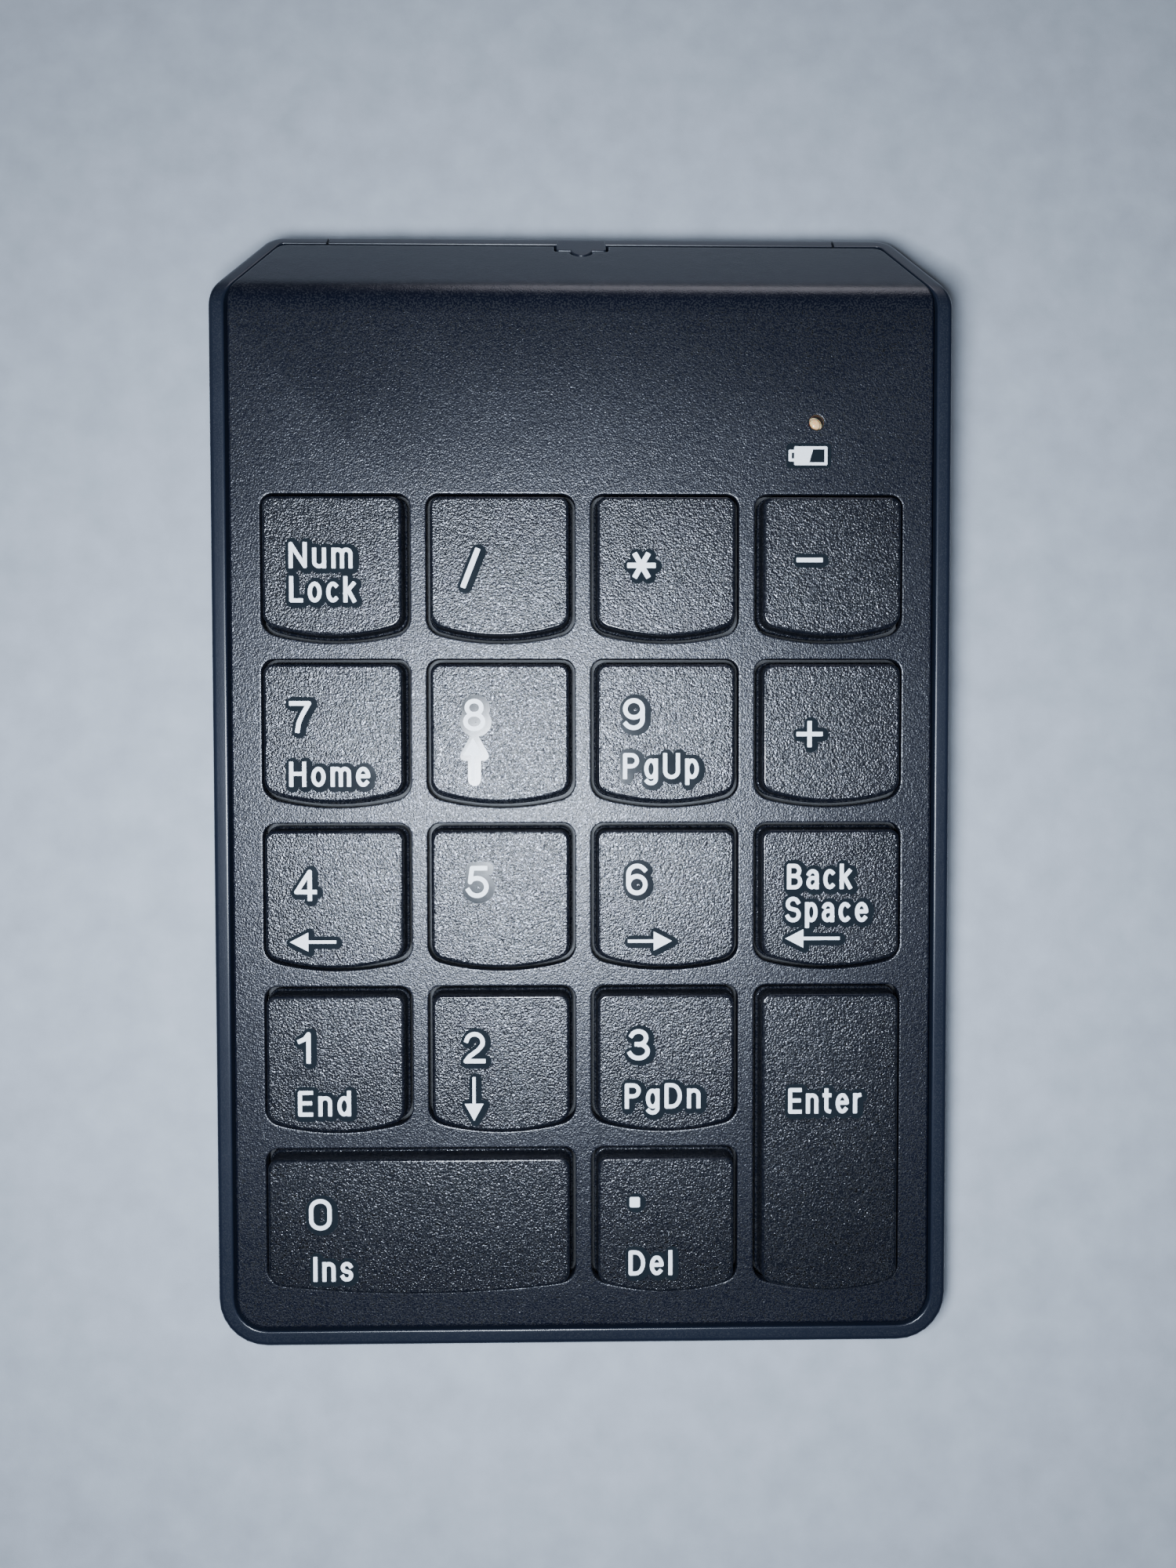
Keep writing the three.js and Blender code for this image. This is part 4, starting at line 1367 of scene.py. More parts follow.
@dataclass(frozen=True)
class LatchForm:
    """The door's latch tab, which climbs the rear face into a notch of the cover."""

    half_width: float = 3.0
    nose_half: float = 1.3
    nose: float = 1.4
    rise: float = 1.6
    gap: float = 0.26
    proud: float = 0.03
    edge: float = 0.14
    root: float = 1.3
    foot: float = 0.55

    @property
    def shoulder(self) -> float:
        """Distance of the tab's shoulder up the slope from the rim's lower edge."""
        return FORM.rim + self.rise

    def profile(self, grow: float, base: float) -> Places:
        """The tab's outline as (x, distance up the slope).

        Args:
            grow: distance that the outline is grown all round.
            base: where it starts on the slope.

        Returns:
            Its points, anticlockwise seen from above the slope's foot.
        """
        top = self.shoulder + grow
        crown = [
            ((self.nose_half + grow) * math.cos(t), top + self.nose * math.sin(t) ** 1.3)
            for t in np.linspace(0.0, math.pi, 15)
        ]
        half, nose = self.half_width + grow, [(x, u, 0.0) for x, u in crown]
        return rounded([(half, base, 0.0), (half, top, 0.3), *nose, (-half, top, 0.3), (-half, base, 0.0)], 4)

    def gap_corners(self, rear: float) -> list[Corner]:
        """The notch's corners in plan, from its right end to its left, for the cover's rear edge.

        Args:
            rear: y of the cover's rear edge.

        Returns:
            The corners, all sharp.
        """
        outline = self.profile(self.gap, 0.0)[1:-1]
        corners = [(x, FORM.rear_y - u * math.cos(FORM.climb), 0.0) for x, u in outline]
        mouth = self.half_width + self.gap
        return [(mouth, rear, 0.0), *corners, (-mouth, rear, 0.0)]

    def solid(self) -> Piece:
        """The tab as a closed block on the slope, its top edge rounded.

        Returns:
            The block.
        """
        slope_y, slope_z = FORM.slope_end
        along = Vector((0, -math.cos(FORM.climb), math.sin(FORM.climb)))
        out = Vector((0, math.sin(FORM.climb), math.cos(FORM.climb)))
        flat = self.profile(0.0, self.foot)
        skin = Skin()

        def level(outline: Places, height: float, edge: float) -> range:
            """A ring of the outline at a height over the slope."""
            places = [Vector((x, slope_y, slope_z)) + along * u + out * height for x, u in outline]
            return skin.ring(np.array([tuple(p) for p in places]), edge)

        rings = [level(flat, -self.root, 0.0)]
        for inward, drop in quarter(self.edge, 3):
            rings.append(level(moved_in(flat, inward), self.proud - drop, 1.0))
        rings.append(level(moved_in(flat, 0.2), self.proud, 0.0))
        return skin.closed("latch", rings)


LATCH = LatchForm()


@dataclass(frozen=True)
class BayForm:
    """The battery bay, its door and the contacts' places."""

    end: float = 29.5
    foot: float = 56.7
    shelf: float = 5.8
    front: float = 58.4
    ceiling: float = 16.5
    wall: float = 1.0
    door_half: float = 30.7
    door_front: float = 57.0
    gap: float = 0.3
    tongues: tuple[float, float] = (-20.0, 20.0)

    @property
    def contacts(self) -> tuple[float, float]:
        """The outer face of each contact sheet."""
        return -self.end + 0.3, self.end - 0.7


BAY = BayForm()


def full_shell(name: str) -> Piece:
    """The lower shell before its door is parted off: floor, walls and the rim with its two edges.

    Args:
        name: the object's name.

    Returns:
        The shell.
    """
    skin = Skin()
    outline = case_outline()

    def level(inset: float, height: float | None, drop: float = 0.0, edge: float = 0.0) -> range:
        """A ring at an inset, at a fixed height or a drop below the top surface."""
        flat = moved_in(outline, inset, FORM.shrink if height is None else None)
        return skin.ring(at_height(flat, FORM.height(flat[:, 1]) - drop if height is None else height), edge)

    bottom = FORM.underside
    bevel, lip, inner = 1.3, 0.45, 0.22
    rings = [level(bevel + 0.15, bottom), level(bevel, bottom)]
    for rise, inward in quarter(bevel, 5, 1):
        rings.append(level(inward, bottom + rise, edge=0.5))
    for inward, drop in quarter(lip, 4):
        rings.append(level(inward, None, drop + 0.05, 1.0))
    rings.append(level(lip + 0.1, None, 0.045))
    rings.append(level(0.95, None, 0.0))
    rings.append(level(FORM.rim - inner - 0.08, None, 0.0))
    for drop, outward in quarter(inner, 3):
        rings.append(level(FORM.rim - outward, None, drop, 1.0))
    rings.append(level(FORM.rim, 4.0))
    rings.append(level(FORM.rim, FORM.floor + 0.4))
    rings.append(level(FORM.rim + 0.12, FORM.floor + 0.12))
    rings.append(level(FORM.rim + 0.4, FORM.floor))
    return skin.closed(name, rings)


def pill(x: float, y: float, grow: float = 0.0) -> Places:
    """The plan outline of a foot or of its pocket.

    Args:
        x: case x of its middle.
        y: case y of its middle.
        grow: distance grown all round.

    Returns:
        The outline.
    """
    a, b = 6.0 + grow, 2.5 + grow
    r = b - 0.1
    return rounded([(x + a, y - b, r), (x + a, y + b, r), (x - a, y + b, r), (x - a, y - b, r)], 10)


@dataclass(frozen=True)
class LowerCase:
    """The lower case: shell, battery bay, screw posts, ribs and pockets for the feet."""

    screws: tuple[tuple[str, float, float], ...] = (
        ("case_screw_front_left", -37.7, -47.8),
        ("case_screw_front_right", 37.7, -47.8),
        ("case_screw_rear_left", -37.9, 51.0),
        ("case_screw_rear_right", 37.9, 51.0),
    )
    feet: tuple[tuple[str, float, float], ...] = (
        ("foot_front_left", -25.0, -45.5),
        ("foot_front_right", 25.0, -45.5),
        ("foot_rear_left", -25.0, 50.5),
        ("foot_rear_right", 25.0, 50.5),
    )
    seat: float = 2.8
    post_top: float = 3.8

    def bay_blocks(self) -> list[Piece]:
        """The bay's bent wall and its two ends.

        Returns:
            The blocks.
        """
        b, floor = BAY, FORM.floor
        bend_start, r, sheet = b.front + 10.4, 7.4, 0.7
        turns = np.linspace(0, 0.78, 8)
        bend = [(bend_start + r * math.sin(t), b.ceiling - r * (1 - math.cos(t))) for t in turns]
        outer = [(y + sheet * math.sin(t), z + sheet * math.cos(t)) for (y, z), t in zip(bend, turns)]
        arch = [
            (b.foot - b.wall, floor - 0.4), (b.foot, floor - 0.4), (b.foot, b.shelf - b.wall),
            (b.front, b.shelf - b.wall), (b.front, b.ceiling), *bend, *reversed(outer),
            (b.front - b.wall, b.ceiling + sheet), (b.front - b.wall, b.shelf), (b.foot - b.wall, b.shelf),
        ]
        ends = [
            (b.front - 0.4, b.shelf - b.wall), (b.front - 0.4, floor + 0.4), (77.4, floor + 0.4), (77.4, 8.8),
            (69.0, b.ceiling + 0.2), (b.front - 0.4, b.ceiling + 0.2),
        ]
        return [
            side_block(arch, -b.end - b.wall, b.end + b.wall),
            side_block(ends, -b.end - b.wall, -b.end),
            side_block(ends, b.end, b.end + b.wall),
        ]

    def ribs(self) -> list[Piece]:
        """Two long ribs that carry the back plate, and two rests for the circuit board.

        Returns:
            The ribs and rests.
        """
        front, rear = FORM.case_yz(-42, -8.4), FORM.case_yz(45, -8.4)
        profile = [(front[0], FORM.floor - 0.4), (rear[0], FORM.floor - 0.4), rear, front]
        long_ribs = [side_block(profile, x - 0.6, x + 0.6) for x in (-KEY_PITCH / 2, KEY_PITCH / 2)]
        y, z = FORM.case_yz(52, -9.15)
        rests = [box((x - 1, x + 1), (y - 3, y + 3), (FORM.floor - 0.4, z - 0.3)) for x in (-4.5, 33.5)]
        return [*long_ribs, *rests]

    def build(self) -> Piece:
        """Makes the lower case and parts the door off it.

        Returns:
            The case.
        """
        case = full_shell("lower_case")
        opening = (-BAY.door_half - BAY.gap, BAY.door_half + BAY.gap)
        carve(case, Carving.CUT, [
            box(opening, (BAY.door_front - BAY.gap, FORM.rear_y + 5), (-1, FORM.floor + 0.01)),
            box(opening, (FORM.rear_y - 3, FORM.rear_y + 5), (-1, 40)),
        ])
        posts = [drum(x, y, (FORM.underside + 0.3, self.post_top), 3.1) for _, x, y in self.screws]
        carve(case, Carving.JOIN, [*self.ribs(), *posts, *self.bay_blocks()])
        wells = [drum(x, y, (-1, self.seat), 2.3) for _, x, y in self.screws]
        shanks = [drum(x, y, (self.seat - 1, self.post_top + 1), 1.2, 24) for _, x, y in self.screws]
        pockets = [prism("pocket", pill(x, y, 0.1), -1, FORM.underside + 0.6) for _, x, y in self.feet]
        low_wall, high_wall = ((y - BAY.wall - 1, y + 1) for y in (BAY.foot, BAY.front))
        slots = [box((x - 5.4, x + 5.4), low_wall, (FORM.floor, 4.4)) for x in BAY.tongues]
        ports = [box((x - 0.3, x + 0.7), high_wall, (11.6, 14.4)) for x in BAY.contacts]
        carve(case, Carving.CUT, [*wells, *shanks, *pockets, *slots, *ports])
        return case

    def dress(self, case: Piece) -> None:
        """Gives the lower case its satin and its body."""
        dress(case, RIM_SATIN, "housing", ["bottom_case"])


@dataclass(frozen=True)
class BatteryDoor:
    """The battery door: underside panel, rear wall with its strip of rim, tongues, ribs and latch."""

    ridges: int = 5
    ridge_pitch: float = 1.7

    def grip(self) -> Piece:
        """Low grip ridges on the panel's underside, copied along a row of points.

        Returns:
            The ridges as one piece.
        """
        outline = rounded([(9, -0.3, 0.3), (9, 0.3, 0.3), (-9, 0.3, 0.3), (-9, -0.3, 0.3)], 4)
        pattern = prism("ridge_pattern", outline + (0, FORM.centre_y), 0.0, 0.28, 0.14)
        first = FORM.rear_y - 4.6
        rows = [
            Vector(metres((0, first - n * self.ridge_pitch, FORM.underside - 0.14)))
            for n in range(self.ridges)
        ]
        row = edge_path("grip_ridges", rows)
        COPY_TOOL.run(row, RIM_SATIN, Pattern=pattern, Size=1.0)
        bpy.data.objects.remove(pattern)
        return row

    def build(self) -> Piece:
        """Makes the door out of the same shell as the case, so that the two run on.

        Returns:
            The door.
        """
        door = full_shell("battery_door_shell")
        half = BAY.door_half
        carve(door, Carving.KEEP, [box((-half, half), (BAY.door_front, FORM.rear_y + 5), (-1, 40))])
        floor, front = FORM.floor, BAY.door_front
        tongues = [
            box((x - 5, x + 5), (front - 2.4, front + 2), (floor + 0.15, floor + 0.95)) for x in BAY.tongues
        ]
        roots = [
            box((x - 4.99, x + 4.99), (front + 0.01, front + 1.99), (floor - 0.4, floor + 0.6))
            for x in BAY.tongues
        ]
        braces = [
            box((x - 0.5, x + 0.5), (FORM.rear_y - 2.6, FORM.rear_y - 1), (floor - 0.4, 9.4))
            for x in (-12, 0, 12)
        ]
        carve(door, Carving.JOIN, [*tongues, *roots, *braces, LATCH.solid()])
        return door

    def dress(self, door: Piece) -> None:
        """Gives the door the case's satin and its own body."""
        dress(door, RIM_SATIN, "battery_door", ["battery_door"])


@dataclass(frozen=True)
class KeyPlace:
    """One key's place in the block: its column and row from the rear left, and its span."""

    name: str
    column: int
    row: int
    wide: int = 1
    tall: int = 1

    @property
    def x(self) -> float:
        """Deck x of the key's middle."""
        return (self.column + (self.wide - 1) / 2 - 1.5) * KEY_PITCH

    @property
    def v(self) -> float:
        """Deck v of the key's middle."""
        return (2 - self.row - (self.tall - 1) / 2) * KEY_PITCH

    @property
    def double(self) -> bool:
        """Whether the key spans two places."""
        return self.wide + self.tall > 2

    def outline(self, inset: float) -> Places:
        """The key's outline about its middle, its front edge bowed forward.

        Args:
            inset: distance in from the edge of its opening.

        Returns:
            The points, anticlockwise; every inset has the same count.
        """
        half = 8.6 + (self.wide - 1) * KEY_PITCH / 2 - inset
        rear = 8.6 + (self.tall - 1) * KEY_PITCH / 2 - inset
        bow = 1.15 if self.wide > 1 else 1.3
        rear_radius = max(1.5 - inset * 0.6, 0.7)
        front_radius = max(2.1 - inset * 0.7, 1.1)
        reach = half - front_radius - 0.5

        def front(x: float) -> float:
            """The bowed front edge at an x."""
            return -rear + bow * (x / half) ** 2

        bowed = [(x, front(x), 0.0) for x in np.linspace(-reach, reach, 13)]
        corner_v = front(half)
        rear_corners = [(half, rear, rear_radius), (-half, rear, rear_radius)]
        corners = [*rear_corners, (-half, corner_v, front_radius), *bowed, (half, corner_v, front_radius)]
        sides = [0.33, 0.67]
        return rounded(corners, 7, {0: sides, 1: sides, len(corners) - 1: sides})


KEYS: tuple[KeyPlace, ...] = (
    KeyPlace("key_num_lock", 0, 0), KeyPlace("key_divide", 1, 0), KeyPlace("key_multiply", 2, 0),
    KeyPlace("key_subtract", 3, 0), KeyPlace("key_7", 0, 1), KeyPlace("key_8", 1, 1), KeyPlace("key_9", 2, 1),
    KeyPlace("key_add", 3, 1), KeyPlace("key_4", 0, 2), KeyPlace("key_5", 1, 2), KeyPlace("key_6", 2, 2),
    KeyPlace("key_backspace", 3, 2), KeyPlace("key_1", 0, 3), KeyPlace("key_2", 1, 3),
    KeyPlace("key_3", 2, 3),
    KeyPlace("key_enter", 3, 3, 1, 2), KeyPlace("key_0", 0, 4, 2, 1), KeyPlace("key_decimal", 2, 4),
)


@dataclass(frozen=True)
class UpperCover:
    """The upper cover: the grained deck with its openings, bent down over the rear."""

    edge: float = 0.20
    opening_edge: float = 0.12
    lamp_edge: float = 0.07
    lamp: tuple[float, float, float] = (27.1, 55.0, 0.875)

    def hole(self, skin: Skin, outline: Places, r: float) -> tuple[range, range]:
        """Adds one opening's wall with a rounded upper edge.

        Args:
            skin: the cover's skin.
            outline: the opening in deck places, anticlockwise.
            r: radius of its upper edge.

        Returns:
            The rings at the top face and at the underside.
        """
        rings = [skin.ring(deck_places(outline, -FORM.cover))]
        for outward, drop in quarter(r, 3):
            rings.append(skin.ring(deck_places(moved_in(outline, -outward), -drop), 0.3))
        rings.append(skin.ring(deck_places(moved_in(outline, -r - 0.07), 0.0)))
        skin.bands(rings)
        return rings[-1], rings[0]

    def build(self) -> Piece:
        """Makes the cover in one skin and adds its screw bosses.

        Returns:
            The cover.
        """
        skin = Skin()
        outline = case_outline(FORM.rim + FORM.groove, LATCH)
        ridge = FORM.case_yz(FORM.ridge_start, 0)[0] - 0.5

        def level(inset: float, depth: float, drop: float, edge: float = 0.0) -> range:
            """A ring on the top surface or parallel to it; the bend and the rear face have no grain.

            Args:
                inset: distance in from the edge.
                depth: distance of the parallel surface under the top.
                drop: further distance down.
                edge: least mask.

            Returns:
                The ring.
            """
            flat = moved_in(outline, inset, FORM.shrink)
            bare = np.clip((flat[:, 1] - ridge) / 1.6, 0.0, 0.9)
            return skin.ring(at_height(flat, FORM.height(flat[:, 1], depth) - drop), np.maximum(edge, bare))

        rings = [level(0.0, FORM.cover, 0.0)]
        for inward, drop in quarter(self.edge, 4):
            rings.append(level(inward, 0.0, drop, 1.0))
        rings.append(level(self.edge + 0.05, 0.0, 0.0))
        skin.bands(rings)
        x, v, radius = self.lamp
        holes = [self.hole(skin, key.outline(0.0) + (key.x, key.v), self.opening_edge) for key in KEYS]
        holes.append(self.hole(skin, circle(radius, 32, x, v), self.lamp_edge))
        for outer, inner in ((rings[-1], 0), (rings[0], 1)):
            skin.sheet(outer, [pair[inner] for pair in holes], self.ties(skin, outer))
        cover = skin.build("upper_cover")
        bosses = [self.boss(x, y) for _, x, y in LowerCase().screws]
        carve(cover, Carving.JOIN, bosses)
        pilots = [drum(x, y, (2, 8.2), 1.0, 20) for _, x, y in LowerCase().screws]
        carve(cover, Carving.CUT, pilots)
        return cover

    @staticmethod
    def ties(skin: Skin, ring: range) -> list[tuple[int, int]]:
        """Pairs each point of the bend with its mirror, so that edges run straight across it.

        Args:
            skin: the cover's skin.
            ring: its outer ring.

        Returns:
            The pairs.
        """
        low, high = FORM.case_yz(FORM.ridge_start, 0)[0] - 0.6, FORM.case_yz(FORM.ridge_start, 0)[0] + 5.4
        bend = [i for i in ring if low < skin.points[i][1] < high]
        right = sorted((i for i in bend if skin.points[i][0] > 0), key=lambda i: skin.points[i][1])
        left = sorted((i for i in bend if skin.points[i][0] < 0), key=lambda i: skin.points[i][1])
        return list(zip(right, left)) if len(right) == len(left) else []

    @staticmethod
    def boss(x: float, y: float) -> Piece:
        """A round boss that takes a case screw, up into the cover's thickness."""
        top = float(FORM.height(np.array([y]), FORM.cover / 2)[0])
        return drum(x, y, (3.9, top), 2.2, 32)

    def dress(self, cover: Piece) -> None:
        """Gives the cover its grain and its body."""
        dress(cover, DECK_GRAIN, "housing", ["top_cover"])


# ---- Keys and their legends ---------------------------------------------------------------------


def arc(cx: float, cy: float, rx: float, ry: float, start: float, end: float) -> list[tuple[float, float]]:
    """Points along part of an ellipse, with the angles in degrees.

    Args:
        cx: the middle's x.
        cy: the middle's y.
        rx: radius along x.
        ry: radius along y.
        start: first angle.
        end: last angle.

    Returns:
        The points.
    """
    count = max(4, int(abs(end - start) / 18))
    turns = [math.radians(start + (end - start) * k / count) for k in range(count + 1)]
    return [(cx + rx * math.cos(t), cy + ry * math.sin(t)) for t in turns]


def glyphs() -> dict[str, tuple[float, Strokes]]:
    """The legend letters as strokes: each has a width and lines, on a capital height of 1.

    Returns:
        Each letter with its width and its lines.
    """
    x = 0.75
    bowl = arc(0.2, 0.375, 0.2, 0.375, 0, 360)
    hump = [(0.0, 0.5), *arc(0.2, 0.55, 0.2, 0.2, 180, 0), (0.4, 0.0)]
    wave = [*arc(0.27, 0.75, 0.25, 0.25, 22, 232), *arc(0.27, 0.26, 0.27, 0.26, 52, -160)]
    return {
        "N": (0.58, [[(0, 0), (0, 1), (0.58, 0), (0.58, 1)]]),
        "L": (0.44, [[(0, 1), (0, 0), (0.44, 0)]]),
        "H": (0.56, [[(0, 0), (0, 1)], [(0.56, 0), (0.56, 1)], [(0, 0.52), (0.56, 0.52)]]),
        "P": (0.50, [[(0, 0), (0, 1), *arc(0.26, 0.745, 0.24, 0.255, 90, -90), (0, 0.49)]]),
        "U": (0.54, [[(0, 1), *arc(0.27, 0.27, 0.27, 0.27, 180, 360), (0.54, 1)]]),
        "E": (0.46, [[(0.46, 0), (0, 0), (0, 1), (0.46, 1)], [(0, 0.52), (0.42, 0.52)]]),
        "D": (0.56, [[(0, 0), (0, 1), *arc(0.22, 0.5, 0.34, 0.5, 90, -90), (0, 0)]]),
        "I": (0.0, [[(0, 0), (0, 1)]]),
        "B": (0.52, [[(0, 0), (0, 1), *arc(0.26, 0.765, 0.22, 0.235, 90, -90), (0, 0.53)],
                     [(0.2, 0.53), *arc(0.27, 0.265, 0.25, 0.265, 90, -90), (0, 0)]]),
        "S": (0.54, [wave]),
        "s": (0.38, [[(px * 0.7, py * x) for px, py in wave]]),
        "a": (0.40, [[*arc(0.2, 0.55, 0.19, 0.2, 160, 0), (0.39, 0.0)],
                     [(0.39, 0.43), *arc(0.17, 0.215, 0.17, 0.215, 90, 270), (0.24, 0.02), (0.39, 0.17)]]),
        "c": (0.38, [arc(0.21, 0.375, 0.21, 0.375, 52, 308)]),
        "e": (0.44, [[(0.01, 0.40), *arc(0.22, 0.375, 0.22, 0.375, 4, 314)]]),
        "o": (0.44, [arc(0.22, 0.375, 0.22, 0.375, 0, 360)]),
        "u": (0.40, [[(0, x), *arc(0.2, 0.2, 0.2, 0.2, 180, 360)], [(0.4, x), (0.4, 0)]]),
        "n": (0.40, [[(0, x), (0, 0)], hump]),
        "m": (0.70, [[(0, x), (0, 0)], *([(at + px * 0.875, py) for px, py in hump] for at in (0.0, 0.35))]),
        "k": (0.38, [[(0, 0), (0, 1)], [(0.36, x), (0, 0.32)], [(0.13, 0.46), (0.38, 0)]]),
        "g": (0.40, [bowl, [(0.4, x), (0.4, -0.1), *arc(0.2, -0.09, 0.2, 0.19, 0, -150)]]),
        "p": (0.40, [bowl, [(0, x), (0, -0.27)]]),
        "d": (0.40, [bowl, [(0.4, 1), (0.4, 0)]]),
        "t": (0.24, [[(0.09, 0.98), *arc(0.23, 0.15, 0.14, 0.14, 180, 265)], [(0, x), (0.24, x)]]),
        "r": (0.22, [[(0, x), (0, 0)], [(0, 0.5), *arc(0.2, 0.49, 0.2, 0.26, 180, 88)]]),
        "l": (0.0, [[(0, 0), (0, 1)]]),
        "0": (
            0.58,
            [[*arc(0.29, 0.70, 0.29, 0.30, 0, 180), *arc(0.29, 0.30, 0.29, 0.30, 180, 360), (0.58, 0.70)]]
        ),
        "1": (0.27, [[(0, 0.74), (0.15, 0.82), (0.27, 1), (0.27, 0)]]),
        "2": (
            0.58, [[*arc(0.29, 0.70, 0.27, 0.30, 168, -22), (0.40, 0.40), (0.12, 0.17), (0.0, 0), (0.58, 0)]]
        ),
        "3": (
            0.58,
            [arc(0.28, 0.755, 0.25, 0.245, 158, -85), [(0.22, 0.52), *arc(0.28, 0.26, 0.30, 0.26, 88, -162)]]
        ),
        "4": (0.62, [[(0.62, 0.25), (0, 0.25), (0.45, 1), (0.45, 0)]]),
        "5": (0.56, [[(0.53, 1), (0.11, 1), (0.05, 0.50), *arc(0.27, 0.32, 0.30, 0.32, 128, -158)]]),
        "6": (
            0.58, [[*arc(0.30, 0.70, 0.29, 0.30, 32, 180), (0.01, 0.34)], arc(0.29, 0.31, 0.28, 0.31, 0, 360)]
        ),
        "7": (0.58, [[(0, 1), (0.58, 1), (0.36, 0.58), (0.24, 0.28), (0.2, 0)]]),
        "8": (0.58, [arc(0.29, 0.76, 0.24, 0.24, 0, 360), arc(0.29, 0.265, 0.29, 0.265, 0, 360)]),
        "9": (
            0.58, [[(0.57, 0.66), *arc(0.28, 0.30, 0.29, 0.30, 0, -148)], arc(0.29, 0.69, 0.28, 0.31, 0, 360)]
        ),
    }


class Mark(Enum):
    """The kinds of legend: text, or a sign drawn to fill its box."""

    TEXT = "text"
    SLASH = "slash"
    STAR = "star"
    BAR = "bar"
    CROSS = "cross"
    DOT = "dot"
    LEFT = "left"
    RIGHT = "right"
    UP = "up"
    DOWN = "down"


@dataclass(frozen=True)
class Legend:
    """One printed line: what it says and the box that its ink fills, about its key's middle."""

    key: str
    x: float
    v: float
    width: float
    height: float
    text: str = ""
    mark: Mark = Mark.TEXT
    stroke: float = 0.47

    def strokes(self) -> Strokes:
        """The centre lines of the ink, in key places.

        Returns:
            The lines.
        """
        r = self.stroke / 2
        if self.mark is Mark.TEXT:
            letters = glyphs()
            gap = 0.39
            total = sum(letters[c][0] + gap for c in self.text) - gap
            wide = (self.width - self.stroke) / total if total > 0 else 1.0
            tall = self.height - self.stroke
            lines: Strokes = []
            pen = 0.0
            for c in self.text:
                width, glyph = letters[c]
                lines += [
                    [(self.x + r + (pen + px) * wide, self.v + r + py * tall) for px, py in line]
                    for line in glyph
                ]
                pen += width + gap
            return lines
        x0, x1, v0, v1 = self.x + r, self.x + self.width - r, self.v + r, self.v + self.height - r
        mx, mv = (x0 + x1) / 2, (v0 + v1) / 2
        arm = (x1 - x0) / 2
        lean = [(arm * math.cos(math.radians(a)), arm * math.sin(math.radians(a))) for a in (60, 120)]
        drawn: dict[Mark, Strokes] = {
            Mark.SLASH: [[(x0, v0), (x1, v1)]],
            Mark.BAR: [[(x0, mv), (x1, mv)]],
            Mark.CROSS: [[(x0, mv), (x1, mv)], [(mx, v0), (mx, v1)]],
            Mark.STAR: [[(x0, mv), (x1, mv)]] + [[(mx - a, mv - b), (mx + a, mv + b)] for a, b in lean],
            Mark.DOT: [[(mx, mv), (mx + 0.01, mv)]],
            Mark.LEFT: [[(self.x + 1.8, mv), (x1, mv)]],
            Mark.RIGHT: [[(x0, mv), (self.x + self.width - 1.8, mv)]],
            Mark.UP: [[(mx, v0), (mx, self.v + self.height - 1.8)]],
            Mark.DOWN: [[(mx, self.v + 1.8), (mx, v1)]],
        }
        return drawn[self.mark]

    def head(self) -> Places | None:
        """The arrow's solid head, anticlockwise, where the legend has one.

        Returns:
            Its corners, or None.
        """
        x0, x1, v0, v1 = self.x, self.x + self.width, self.v, self.v + self.height
        mx, mv = (x0 + x1) / 2, (v0 + v1) / 2
        heads = {
            Mark.LEFT: [(x0, mv), (x0 + 2.1, v0), (x0 + 2.1, v1)],
            Mark.RIGHT: [(x1, mv), (x1 - 2.1, v1), (x1 - 2.1, v0)],
            Mark.UP: [(mx, v1), (x0, v1 - 2.0), (x1, v1 - 2.0)],
            Mark.DOWN: [(mx, v0), (x1, v0 + 2.0), (x0, v0 + 2.0)],
        }
        return np.array(heads[self.mark]) if self.mark in heads else None


